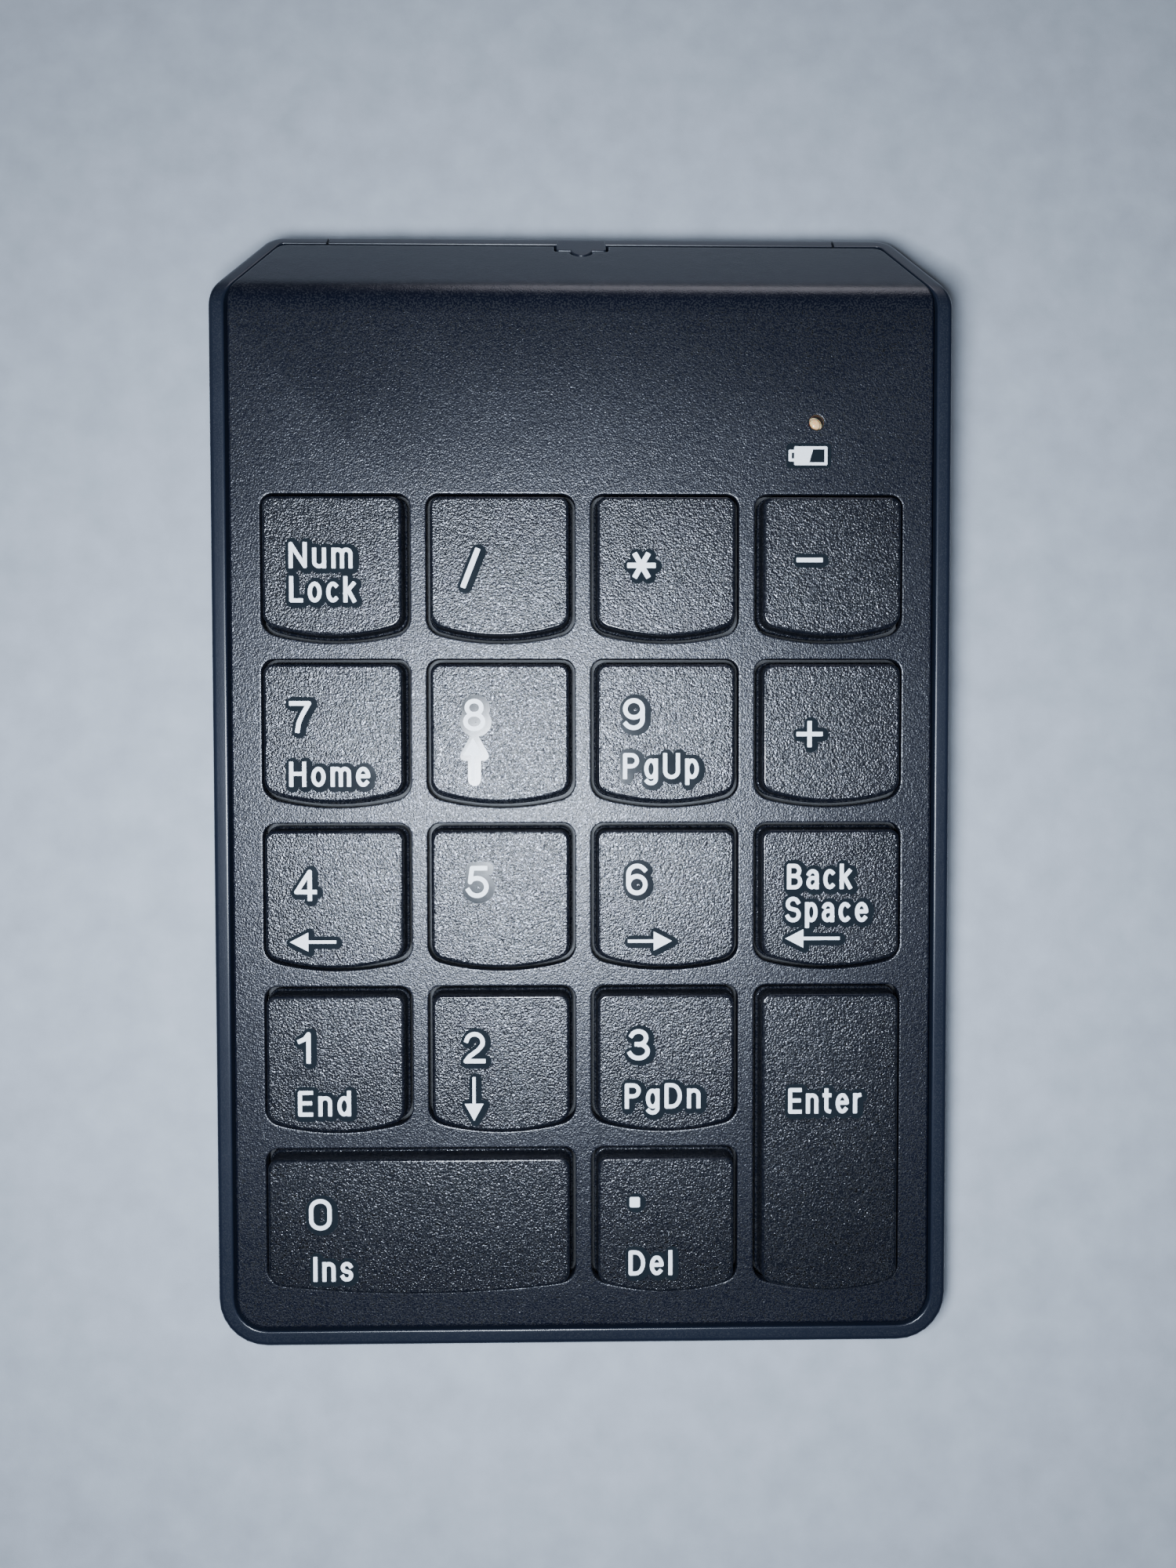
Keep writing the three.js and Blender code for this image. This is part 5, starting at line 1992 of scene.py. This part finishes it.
ARROW = 0.37
LEGENDS: tuple[Legend, ...] = (
    Legend("key_num_lock", -4.86, -0.30, 7.24, 2.99, "Num"),
    Legend("key_num_lock", -4.83, -4.16, 7.57, 2.99, "Lock"),
    Legend("key_divide", -4.39, -2.50, 2.16, 4.53, mark=Mark.SLASH, stroke=0.62),
    Legend("key_multiply", -4.48, -1.55, 3.27, 3.26, mark=Mark.STAR, stroke=0.60),
    Legend("key_subtract", -4.15, 0.45, 3.03, 0.56, mark=Mark.BAR, stroke=0.51),
    Legend("key_7", -4.97, 0.06, 2.52, 3.63, "7", stroke=0.52),
    Legend("key_7", -5.02, -6.10, 9.25, 2.90, "Home"),
    Legend("key_8", -4.21, 0.25, 2.53, 3.70, "8", stroke=0.52),
    Legend("key_8", -4.18, -5.40, 2.16, 4.90, mark=Mark.UP, stroke=ARROW),
    Legend("key_9", -5.01, 0.35, 2.58, 3.65, "9", stroke=0.52),
    Legend("key_9", -4.97, -5.28, 8.72, 3.00, "PgUp"),
    Legend("key_add", -4.07, -1.64, 3.04, 3.03, mark=Mark.CROSS, stroke=0.51),
    Legend("key_4", -4.55, -0.13, 2.59, 3.60, "4", stroke=0.51),
    Legend("key_4", -5.10, -5.96, 5.30, 2.19, mark=Mark.LEFT, stroke=ARROW),
    Legend("key_5", -3.92, 0.14, 2.53, 3.70, "5", stroke=0.52),
    Legend("key_6", -4.64, 0.40, 2.53, 3.64, "6", stroke=0.52),
    Legend("key_6", -4.41, -6.01, 5.08, 2.21, mark=Mark.RIGHT, stroke=ARROW),
    Legend("key_backspace", -5.09, 1.02, 7.51, 2.95, "Back"),
    Legend("key_backspace", -5.28, -2.80, 9.63, 2.96, "Space"),
    Legend("key_backspace", -5.27, -5.76, 6.31, 2.16, mark=Mark.LEFT, stroke=ARROW),
    Legend("key_1", -4.34, 0.13, 1.52, 3.66, "1", stroke=0.51),
    Legend("key_1", -4.34, -6.01, 6.09, 2.99, "End"),
    Legend("key_2", -4.33, 0.06, 2.54, 3.65, "2", stroke=0.51),
    Legend("key_2", -4.23, -6.65, 2.19, 5.11, mark=Mark.DOWN, stroke=ARROW),
    Legend("key_3", -4.42, 0.28, 2.55, 3.65, "3", stroke=0.52),
    Legend("key_3", -4.77, -5.36, 8.77, 2.97, "PgDn"),
    Legend("key_enter", -4.86, 3.46, 8.57, 3.01, "Enter"),
    Legend("key_0", -12.71, -0.26, 2.61, 3.68, "0", stroke=0.50),
    Legend("key_0", -12.26, -6.27, 4.59, 2.93, "Ins"),
    Legend("key_decimal", -4.25, 2.16, 1.24, 1.19, mark=Mark.DOT, stroke=1.2),
    Legend("key_decimal", -4.34, -5.87, 5.10, 2.96, "Del"),
)


def stroke_shapes(line: Sequence[tuple[float, float]], radius: float, square: bool) -> list[Places]:
    """Convex pieces that together cover a line at a radius.

    Args:
        line: the centre line.
        radius: half the line's width.
        square: whether the ends are cut nearly square, as printed, or fully round.

    Returns:
        Anticlockwise outlines, which overlap.
    """
    shapes: list[Places] = []
    spots = np.array(line, float)
    for a, b in zip(spots, spots[1:]):
        run = np.linalg.norm(b - a)
        if run < 1e-6:
            continue
        ahead = (b - a) / run
        side = np.array([-ahead[1], ahead[0]]) * radius
        shapes.append(np.array([a - side, b - side, b + side, a + side]))
    closed = np.linalg.norm(spots[0] - spots[-1]) < 1e-4
    disc = circle(radius, 14)
    inner = spots if closed or not square else spots[1:-1]
    shapes += [spot + disc for spot in inner]
    if square and not closed:
        for end, nearby in ((spots[0], spots[1]), (spots[-1], spots[-2])):
            ahead = (end - nearby) / np.linalg.norm(end - nearby)
            side = np.array([-ahead[1], ahead[0]])
            cut = ((0.0, -1.0), (0.78, -1.0), (0.98, -0.82), (0.98, 0.82), (0.78, 1.0), (0.0, 1.0))
            shapes.append(np.array([end + radius * (p * ahead + q * side) for p, q in cut]))
    return shapes


def merged(shapes: Sequence[Places]) -> tuple[Places, list[tuple[int, int, int]], list[tuple[int, int]]]:
    """The flat region that overlapping convex shapes cover.

    Args:
        shapes: anticlockwise outlines.

    Returns:
        Its points, its triangles and its boundary edges.
    """
    spots: list[Vector] = []
    faces: list[list[int]] = []
    for shape in shapes:
        faces.append(list(range(len(spots), len(spots) + len(shape))))
        spots.extend(Vector(p) for p in shape)
    verts, _, cells, _, _, owners = delaunay_2d_cdt(spots, [], faces, 1, 1e-4)
    used: dict[tuple[int, int], int] = {}
    for cell, owner in zip(cells, owners):
        if owner:
            for a, b in zip(cell, [*cell[1:], cell[0]]):
                used[(a, b)] = used.get((a, b), 0) + 1
    border = [(a, b) for a, b in used if (b, a) not in used]
    keep = sorted({i for pair in border for i in pair})
    rank = {i: n for n, i in enumerate(keep)}
    flat = np.array([tuple(verts[i]) for i in keep])
    sides = [(rank[a], rank[b]) for a, b in border]
    again, _, triangles, origins = delaunay_2d_cdt([Vector(p) for p in flat], sides, [], 0, 1e-6)[:4]
    ends = np.array(sides)
    middles = np.array([sum((again[i] for i in t), Vector((0, 0))) / 3 for t in triangles])
    kept = inside(flat[ends[:, 0]], flat[ends[:, 1]], middles)
    cells_kept = [tuple(origins[i][0] for i in t) for t, keep_it in zip(triangles, kept) if keep_it]
    return flat, cells_kept, sides


def print_slab(
    name: str, shapes: Sequence[Places], place: Callable[[Places, float], Places], low: float, high: float
) -> Piece:
    """A thin closed slab over the region that shapes cover.

    Args:
        name: the object's name.
        shapes: the shapes, in flat places.
        place: turns flat places at a height into case places.
        low: height of its underside.
        high: height of its face.

    Returns:
        The slab.
    """
    flat, triangles, sides = merged(shapes)
    skin = Skin()
    under = skin.ring(place(flat, low))
    over = skin.ring(place(flat, high))
    skin.faces.extend(tuple(over[i] for i in t) for t in triangles)
    skin.faces.extend(tuple(under[i] for i in reversed(t)) for t in triangles)
    skin.faces.extend((under[a], under[b], over[b], over[a]) for a, b in sides)
    return skin.build(name)


@dataclass(frozen=True)
class KeyCap:
    """A plunger key: bowed cap with a low ledge round its skirt, a hollow underside and its stem."""

    place: KeyPlace
    skirt: float = -1.9
    thickness: float = 1.1
    wall: float = 1.0
    round_over: float = 0.24
    stem_radius: float = 1.9
    stem_end: float = -4.9
    halo: float = 0.55

    def build(self) -> Piece:
        """Makes the cap and its stem as one closed piece.

        Returns:
            The cap.
        """
        skin = Skin()

        def level(inset: float, w: float, edge: float = 0.0) -> range:
            """A ring of the key's outline at a height."""
            return skin.ring(deck_places(self.place.outline(inset) + (self.place.x, self.place.v), w), edge)

        under = KEY_TOP - self.thickness
        inner = 0.35 + self.wall
        r = self.round_over
        rings = [level(inner + 0.35, under), level(inner, under - 0.3), level(inner, self.skirt + 0.1)]
        rings += [level(inner - 0.1, self.skirt), level(0.46, self.skirt), level(0.36, self.skirt + 0.1)]
        rings += [
            level(0.36, -0.95, 0.3), level(0.39, -0.84, 0.5), level(0.46, -0.78, 0.5), level(0.56, -0.74, 0.3)
        ]
        rings += [level(0.60, -0.65, 0.3), level(0.70, KEY_TOP - r - 0.15), level(0.71, KEY_TOP - r, 1.0)]
        for inward, drop in quarter(r, 4, 1):
            rings.append(level(0.71 + inward, KEY_TOP - drop, 1.0))
        rings.append(level(0.71 + r + 0.08, KEY_TOP))
        cap = skin.closed(self.place.name + "_cap", rings)
        carve(cap, Carving.JOIN, [self.stem(under), *self.hooks(under)])
        return cap

    def stem(self, under: float) -> Piece:
        """The round stem that runs in the frame's sleeve.

        Args:
            under: height of the cap's inner ceiling.

        Returns:
            The stem.
        """
        skin = Skin()
        radius, tip, x, v = self.stem_radius, 0.2, self.place.x, self.place.v
        sizes = ((radius - tip, self.stem_end), (radius, self.stem_end + tip), (radius, under + 0.4))
        return skin.closed("stem", [skin.ring(deck_places(circle(r, 32, x, v), w)) for r, w in sizes])

    def hooks(self, under: float) -> list[Piece]:
        """The two clips under a double key that hold its wire.

        Args:
            under: height of the cap's inner ceiling.

        Returns:
            The clips, none for a single key.
        """
        if not self.place.double:
            return []
        blocks = []
        low, bar = WIRE.bar_w - 0.7, WIRE.bar_v
        for side in (-9.0, 9.0):
            for v0, v1 in ((bar - 1.45, bar - 0.72), (bar + 0.82, bar + 1.55)):
                flat = np.array([(side - 1, v0), (side + 1, v0), (side + 1, v1), (side - 1, v1)])
                skin = Skin()
                rings = [skin.ring(deck_places(WIRE.turn(self.place, flat), w)) for w in (low, under + 0.4)]
                blocks.append(skin.closed("clip", rings))
        return blocks

    def legends(self) -> list[tuple[Piece, Finish]]:
        """The key's lacquer patches and ink, each with its finish.

        Returns:
            The pieces with their finishes.
        """
        lines = [legend for legend in LEGENDS if legend.key == self.place.name]
        ink: list[Places] = []
        lacquer: list[Places] = []
        for legend in lines:
            head = legend.head()
            for line in legend.strokes():
                ink += stroke_shapes(line, legend.stroke / 2, True)
                lacquer += stroke_shapes(line, legend.stroke / 2 + self.halo, False)
            if head is not None:
                ink.append(head)
                lacquer += [head, *stroke_shapes([*map(tuple, head), tuple(head[0])], self.halo, False)]
        if not lines:
            return []

        def on_key(flat: Places, w: float) -> Places:
            """Key places at a height."""
            return deck_places(flat + (self.place.x, self.place.v), w)

        shifted = [shape + (0.17, -0.09) for shape in lacquer]
        name = self.place.name
        return [
            (print_slab(f"{name}_lacquer", shifted, on_key, KEY_TOP - 0.01, KEY_TOP + 0.025), LEGEND_LACQUER),
            (print_slab(f"{name}_legend", ink, on_key, KEY_TOP, KEY_TOP + 0.036), LEGEND_INK),
        ]

    def dress(self, cap: Piece) -> None:
        """Gives the key its grain and prints its legends.

        Args:
            cap: the key's cap.
        """
        name = self.place.name
        dress(cap, KEY_GRAIN, name, [name])
        for piece, finish in self.legends():
            dress(piece, finish, name, slot="key_plastic")


@dataclass(frozen=True)
class WireForm:
    """The wire under each double key, which turns on the key frame as the key goes down."""

    radius: float = 0.45
    arm: float = 5.5
    half: float = 14.5
    end: float = 16.4
    pivot_v: float = -0.5
    pivot_w: float = -3.4

    @property
    def bar_w(self) -> float:
        """Height of the long bar at rest."""
        return self.pivot_w + KEY_TRAVEL / 2

    @property
    def bar_v(self) -> float:
        """Place of the long bar at rest."""
        return self.pivot_v + self.arm * math.cos(math.asin(KEY_TRAVEL / 2 / self.arm))

    @staticmethod
    def turn(key: KeyPlace, flat: Places) -> Places:
        """Places of a wide key's wire, turned a quarter for a tall key, as deck places.

        Args:
            key: the double key.
            flat: places about the key's middle.

        Returns:
            The deck places.
        """
        flat = np.asarray(flat, float)
        if key.tall > 1:
            flat = np.stack([-flat[:, 1], flat[:, 0]], axis=1)
        return flat + (key.x, key.v)

    def build(self, key: KeyPlace) -> Piece:
        """Makes one wire with its bent ends.

        Args:
            key: the double key.

        Returns:
            The wire.
        """
        stops = [
            (-self.end, self.pivot_v, self.pivot_w), (-self.half, self.pivot_v, self.pivot_w),
            (-self.half, self.bar_v, self.bar_w), (self.half, self.bar_v, self.bar_w),
            (self.half, self.pivot_v, self.pivot_w), (self.end, self.pivot_v, self.pivot_w),
        ]
        flat = self.turn(key, np.array([stop[:2] for stop in stops]))
        places = [deck_place(x, v, stop[2]) for (x, v), stop in zip(flat, stops)]
        return draw_wire(f"{key.name}_wire", places, self.radius, 0.9, WIRE_STEEL)

    def dress(self, wire: Piece, key: KeyPlace) -> None:
        """Puts a wire on its own body."""
        body = f"stabilizer_{key.name[4:]}"
        dress(wire, WIRE_STEEL, body, [body])


WIRE = WireForm()


@dataclass(frozen=True)
class DomeMat:
    """The silicone mat: a sheet with a dome under each key that flattens as the key goes down."""

    top: float = -5.0
    sheet_top: float = -7.2
    bottom: float = -7.5
    stakes: tuple[float, ...] = (-1.5, -0.5, 0.5, 1.5)

    def build_sheet(self) -> Piece:
        """The flat sheet, open under each dome and round each stake.

        Returns:
            The sheet.
        """
        half, front, rear, corner = 37.6, -45.8, 47.2, 4.0
        outline = rounded(
            [(half, front, corner), (half, rear, corner), (-half, rear, corner), (-half, front, corner)], 8
        )
        holes = [circle(3.6, 28, key.x, key.v) for key in KEYS]
        holes += [
            circle(1.2, 28, side * KEY_PITCH, row * KEY_PITCH) for side in (-1, 1) for row in self.stakes
        ]
        skin = Skin()
        levels = []
        for w in (self.bottom, self.sheet_top):
            levels.append([skin.ring(deck_places(flat, w)) for flat in (outline, *holes)])
        for low, high in zip(*levels):
            skin.band(low, high)
        for outer, *inner in levels:
            skin.sheet(outer, inner)
        return skin.build("dome_sheet")

    def build_dome(self, key: KeyPlace) -> Piece:
        """One thin-walled dome with its landing ring.

        Args:
            key: the key above it.

        Returns:
            The dome.
        """
        outer = [
            (3.45, 0.02), (4.0, 0.02), (4.0, 0.34), (3.75, 0.46), (2.35, 1.75), (1.95, 2.15), (1.8, 2.38),
            (1.6, 2.48), (0.9, 2.5), (0.0, 2.5)
        ]
        inner = [(0.0, 1.45), (0.75, 1.45), (0.85, 1.6), (1.5, 1.62), (1.9, 1.45), (3.35, 0.2)]
        mesh = turned(f"{key.name}_dome", [*inner, *outer], 40)
        return stand(mesh, f"{key.name}_dome", deck_matrix(key.x, key.v, self.bottom))

    def dress(self, sheet: Piece, domes: Sequence[tuple[KeyPlace, Piece]]) -> None:
        """Puts the mat and each dome on the housing, and gives each dome its own mesh.

        Args:
            sheet: the flat sheet.
            domes: each key with its dome.
        """
        dress(sheet, DOME_SILICONE, "housing", ["dome_mat"])
        out = Matrix.Rotation(FORM.slope, 3, "X") @ Vector((0, 0, 1))
        for key, dome in domes:
            dress(dome, DOME_SILICONE, "housing")
            foot = tuple(deck_place(key.x, key.v, self.bottom))
            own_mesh(dome)


# ---- Small parts ---------------------------------------------------------------------------------


@dataclass(frozen=True)
class Screws:
    """The four case screws, copied from one turned pattern with a cross recess."""

    head_radius: float = 1.8
    head_height: float = 1.2
    shank_radius: float = 0.8
    top: float = 2.75
    tip: float = 7.6

    def pattern(self) -> Piece:
        """One screw about its own axis, with its thread as rings.

        Returns:
            The screw.
        """
        low, r, root = self.top - self.head_height, self.head_radius, self.shank_radius - 0.16
        head = [(0.0, low), (r - 0.45, low), (r - 0.15, low + 0.12), (r, low + 0.4), (r, self.top)]
        thread = []
        z = self.top + 0.5
        while z < self.tip - 0.9:
            thread += [(root, z), (self.shank_radius, z + 0.2), (root, z + 0.4)]
            z += 0.42
        profile = [*head, (root, self.top), *thread, (0.25, self.tip - 0.1), (0.0, self.tip)]
        screw = stand(turned("screw_pattern", profile, 32), "screw_pattern", Matrix.Identity(4))
        middle = FORM.centre_y
        arm, blade, depth = 1.15, 0.24, (low - 1, low + 0.75)
        cross = [box((-a, a), (middle - b, middle + b), depth) for a, b in ((arm, blade), (blade, arm))]
        carve(screw, Carving.CUT, cross)
        return screw

    def build(self) -> Piece:
        """Copies the pattern to each screw's place.

        Returns:
            The screws as one piece.
        """
        spots = LowerCase().screws
        points = edge_path("case_screws", [Vector(metres((x, y, 0))) for _, x, y in spots])
        pattern = self.pattern()
        COPY_TOOL.run(points, SCREW_STEEL, Pattern=pattern, Size=1.0)
        bpy.data.objects.remove(pattern)
        smooth(points.data)
        return points

    def dress(self, screws: Piece) -> None:
        """Puts the screws on the housing."""
        dress(screws, SCREW_STEEL, "housing", [name for name, _, _ in LowerCase().screws])


@dataclass(frozen=True)
class Foot:
    """A rubber foot with a rounded tread."""

    name: str
    x: float
    y: float
    tread_edge: float = 0.3
    sunk: float = 0.55

    def build(self) -> Piece:
        """Makes the pad, its tread's edge rounded.

        Returns:
            The foot.
        """
        skin = Skin()
        outline, r = pill(self.x, self.y), self.tread_edge
        rings = [skin.ring(at_height(outline, FORM.underside + self.sunk))]
        for inward, drop in quarter(r, 3):
            rings.append(skin.ring(at_height(moved_in(outline, inward), drop), 0.6))
        rings.append(skin.ring(at_height(moved_in(outline, r + 0.1), 0.0)))
        return skin.closed(self.name + "_pad", rings)

    def dress(self, foot: Piece) -> None:
        """Puts the foot on the housing."""
        dress(foot, FOOT_RUBBER, "housing", [self.name])


@dataclass(frozen=True)
class Lamp:
    """The battery lamp's light pipe under its hole, and the battery picture printed beside it."""

    x: float = 27.1
    v: float = 55.0
    left: float = 23.87
    right: float = 28.38
    low: float = 50.06
    high: float = 52.24

    def build_pipe(self) -> Piece:
        """The light pipe with a domed tip.

        Returns:
            The pipe.
        """
        tip = [
            (0.68 * math.cos(t), -1.3 + 0.5 * math.sin(t)) for t in np.linspace(0.1, math.pi / 2 - 0.05, 9)
        ]
        profile = [
            (0.0, -7.1), (0.82, -7.1), (0.9, -7.0), (0.9, -2.7), (1.85, -2.7), (1.9, -2.6), (1.9, -1.95),
            (0.68, -1.95), *tip, (0.0, -0.8)
        ]
        mesh = turned("light_pipe_clear", profile, 40)
        return stand(mesh, "light_pipe_clear", deck_matrix(self.x, self.v, 0.0))

    def picture(self) -> list[Places]:
        """The battery picture as convex shapes: a filled body, a frame round its empty end, a nub.

        Returns:
            The shapes.
        """
        x0, x1, v0, v1 = self.left + 0.65, self.right, self.low, self.high
        line = 0.33
        split_low, split_high = x0 + 1.75, x0 + 2.2

        def block(a: float, b: float, c: float, d: float) -> Places:
            """An upright rectangle."""
            return np.array([(a, c), (b, c), (b, d), (a, d)])

        nub_low, nub_high = v0 + 0.43, v1 - 0.40
        return [
            np.array(
                [
                    (x0, v0 + 0.1), (x0 + 0.1, v0), (split_low, v0), (split_low, v0 + line),
                    (split_high, v1 - line), (split_high, v1), (x0 + 0.1, v1), (x0, v1 - 0.1)
                ]
            ),
            block(split_low - 0.2, x1 - 0.1, v0, v0 + line), block(split_high - 0.3, x1 - 0.1, v1 - line, v1),
            block(x1 - line, x1, v0 + 0.1, v1 - 0.1), block(x1 - line, x1 - 0.08, v0 + 0.02, v1 - 0.02),
            block(self.left, self.left + 0.36, nub_low + 0.05, nub_high - 0.05),
            block(self.left + 0.08, x0 + 0.05, nub_high - line, nub_high),
            block(self.left + 0.08, x0 + 0.05, nub_low, nub_low + line),
        ]

    def build_picture(self) -> Piece:
        """The printed picture as a thin slab on the deck."""
        return print_slab("battery_picture", self.picture(), deck_places, -0.008, 0.022)

    def build_lacquer(self) -> Piece:
        """The clear patch under the picture.

        Returns:
            The patch.
        """
        grow = 0.35
        a, b, c, d = self.left - grow + 0.1, self.right + grow + 0.1, self.low - grow, self.high + grow
        outline = rounded([(b, c, 0.45), (b, d, 0.45), (a, d, 0.45), (a, c, 0.45)], 6)
        return print_slab("battery_picture_lacquer", [outline], deck_places, -0.012, 0.008)

    def dress(self, pipe: Piece, picture: Piece, lacquer: Piece) -> None:
        """Puts the lamp's pieces on the housing.

        Args:
            pipe: the light pipe.
            picture: the battery picture.
            lacquer: its patch.
        """
        dress(pipe, LAMP_AMBER, "housing", ["light_pipe"])
        dress(picture, LEGEND_INK, "housing", slot="cover_plastic")
        dress(lacquer, LEGEND_LACQUER, "housing", slot="cover_plastic")


@dataclass(frozen=True)
class Battery:
    """The AA cell with its spring and its contact sheets."""

    radius: float = 7.1
    y: float = 66.0
    z: float = 9.2
    left: float = -21.6
    length: float = 49.2

    def build_cell(self) -> Piece:
        """The cell: rolled edges, a recessed flat end and a raised contact.

        Returns:
            The cell.
        """
        r, length = self.radius, self.length
        profile = [
            (0.0, 0.0), (5.2, 0.0), (5.4, 0.25), (5.9, 0.25), (6.2, 0.02), (r - 0.35, 0.02), (r - 0.1, 0.15),
            (r, 0.45),
            (r, length - 0.5), (r - 0.12, length - 0.2), (r - 0.5, length), (5.6, length),
            (5.3, length - 0.35), (3.1, length - 0.35),
            (2.85, length - 0.2), (2.7, length + 0.1), (2.65, length + 0.8), (2.45, length + 1.0),
            (0.0, length + 1.0),
        ]
        place = Matrix.Translation(
            Vector(metres((self.left, self.y, self.z)))
        ) @ Matrix.Rotation(math.pi / 2, 4, "Y")
        return stand(turned("aa_cell", profile, 64), "aa_cell", place)

    def build_spring(self) -> Piece:
        """The cone of spring on its contact sheet.

        Returns:
            The spring with its sheet.
        """
        x = BAY.contacts[0]
        turns, end = 3.5, self.left - 0.55
        stops = []
        for k in range(85):
            t = k / 84
            angle = turns * 2 * math.pi * t
            radius = 4.2 - 2.2 * t
            along = x + 0.8 + t * (end - x - 0.8)
            y, z = self.y + radius * math.cos(angle), self.z + radius * math.sin(angle)
            stops.append(Vector(metres((along, y, z))))
        coil = draw_wire("battery_spring_coil", stops, 0.4, 0.0, CONTACT_NICKEL)
        sheet = self.contact_sheet(x)
        return self.joined(coil, sheet)

    def contact_sheet(self, x: float) -> Piece:
        """A contact's sheet: a plate across the bay's end and a tag through the front wall.

        Args:
            x: place of the sheet's left face.

        Returns:
            The sheet.
        """
        plate = box((x, x + 0.4), (self.y - 5, self.y + 5), (self.z - 4.5, self.z + 5))
        tag = box((x + 0.01, x + 0.39), (BAY.front - BAY.wall - 0.9, self.y), (self.z + 2.8, self.z + 4.8))
        carve(plate, Carving.JOIN, [tag])
        plate.name = "battery_contact_sheet"
        return plate

    @staticmethod
    def joined(first: Piece, second: Piece) -> Piece:
        """Puts two closed meshes in one object.

        Args:
            first: the object kept.
            second: the object used up.

        Returns:
            The first object.
        """
        pen = bmesh.new()
        pen.from_mesh(first.data)
        pen.from_mesh(second.data)
        pen.to_mesh(first.data)
        pen.free()
        bpy.data.objects.remove(second)
        return first

    def dress(self, cell: Piece, spring: Piece) -> None:
        """Puts the cell and its spring on the housing."""
        dress(cell, CELL_SLEEVE, "housing", ["battery"])
        dress(spring, CONTACT_NICKEL, "housing", ["battery_spring"])


# ---- Setting -------------------------------------------------------------------------------------


@dataclass(frozen=True)
class Studio:
    """Floor, soft lights and the camera."""

    floor_half: float = 0.9
    floor_level: float = -0.00002
    lens: float = 28.8
    camera_deck: tuple[float, float, float] = (-2.17, 17.89, 145.99)
    flash_deck: tuple[float, float, float] = (-14.0, 7.5, 147.0)

    def floor(self) -> None:
        """A plain pale floor."""
        half, level = self.floor_half, self.floor_level
        mesh = bpy.data.meshes.new("floor")
        corners = [(-half, -half, level), (half, -half, level), (half, half, level), (-half, half, level)]
        mesh.from_pydata(corners, [], [(0, 1, 2, 3)])
        mesh.materials.append(FLOOR_PAPER.material())
        linked("floor", mesh)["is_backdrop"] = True

    def light(self, name: str, place: Vector, aim: Vector, size: float, watts: float, colour: Colour) -> None:
        """A soft square light.

        Args:
            name: the light's name.
            place: where it hangs.
            aim: where it points.
            size: side of its square.
            watts: its power.
            colour: its colour.
        """
        lamp = bpy.data.lights.new(name, "AREA")
        lamp.energy = watts
        lamp.size = size
        lamp.color = colour
        made = linked(name, lamp)
        made.location = place
        made.rotation_euler = (aim - place).to_track_quat("-Z", "Y").to_euler()

    def lights(self) -> None:
        """A key light near the lens, a fill from the left, one from the rear and a weak sky."""
        middle = deck_place(0, 10, 0)
        self.light("key_light", deck_place(*self.flash_deck), middle, 0.028, 0.74, (0.79, 0.88, 1.0))
        self.light("fill_left", Vector((-0.6, 0.35, 0.45)), middle, 0.5, 0.22, (0.76, 0.86, 1.0))
        self.light("fill_rear", Vector((0.1, 0.8, 0.12)), middle, 0.35, 1.1, (0.92, 0.90, 1.0))
        world = bpy.data.worlds.new("studio")
        bpy.context.scene.world = world
        world.use_nodes = True
        back = world.node_tree.nodes["Background"]
        back.inputs[0].default_value = (0.72, 0.80, 0.95, 1)
        back.inputs[1].default_value = 0.023

    def camera(self) -> None:
        """The camera straight over the keys, a little to the rear of the middle."""
        data = bpy.data.cameras.new("camera")
        data.lens = self.lens
        data.sensor_width = 36.0
        data.clip_start = 0.01
        made = linked("camera", data)
        axes = Matrix(((0.9998, -0.0013, 0.0189), (0.0019, 0.9995, -0.0324), (-0.0188, 0.0324, 0.9993)))
        turn = Matrix.Rotation(FORM.slope, 3, "X") @ axes.transposed()
        made.matrix_world = Matrix.Translation(deck_place(*self.camera_deck)) @ turn.to_4x4()
        bpy.context.scene.camera = made


def dress_packed_nodes() -> None:
    """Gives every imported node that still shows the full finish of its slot."""
    slots = {part["node"]: part["material_slot"] for part in frame["record"]["subparts"]}
    for name, node in frame["nodes"].items():
        finish = FINISHES[slots[name]]
        if not node.material_slots:
            node.data.materials.append(finish.material())
        for slot in node.material_slots:
            slot.material = finish.material()


def main() -> None:
    """Builds and dresses every sub-assembly in turn."""
    logging.basicConfig(level=logging.INFO, format="%(name)s %(message)s")
    studio = Studio()
    studio.camera()
    studio.floor()
    studio.lights()
    dress_packed_nodes()
    case = LowerCase()
    case.dress(case.build())
    door = BatteryDoor()
    door.dress(door.build())
    dress(door.grip(), RIM_SATIN, "battery_door")
    cover = UpperCover()
    cover.dress(cover.build())
    for place in KEYS:
        key = KeyCap(place)
        key.dress(key.build())
        if place.double:
            WIRE.dress(WIRE.build(place), place)
    mat = DomeMat()
    mat.dress(mat.build_sheet(), [(place, mat.build_dome(place)) for place in KEYS])
    screws = Screws()
    screws.dress(screws.build())
    for name, x, y in case.feet:
        foot = Foot(name, x, y)
        foot.dress(foot.build())
    lamp = Lamp()
    lamp.dress(lamp.build_pipe(), lamp.build_picture(), lamp.build_lacquer())
    battery = Battery()
    battery.dress(battery.build_cell(), battery.build_spring())
    contact = battery.contact_sheet(BAY.contacts[1])
    dress(contact, CONTACT_NICKEL, "housing", ["battery_contact"])
    [[list(map(float, corner)) for corner in bounds] for bounds in (CAD_BOUNDS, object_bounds())]


if __name__ == "__main__":
    main()
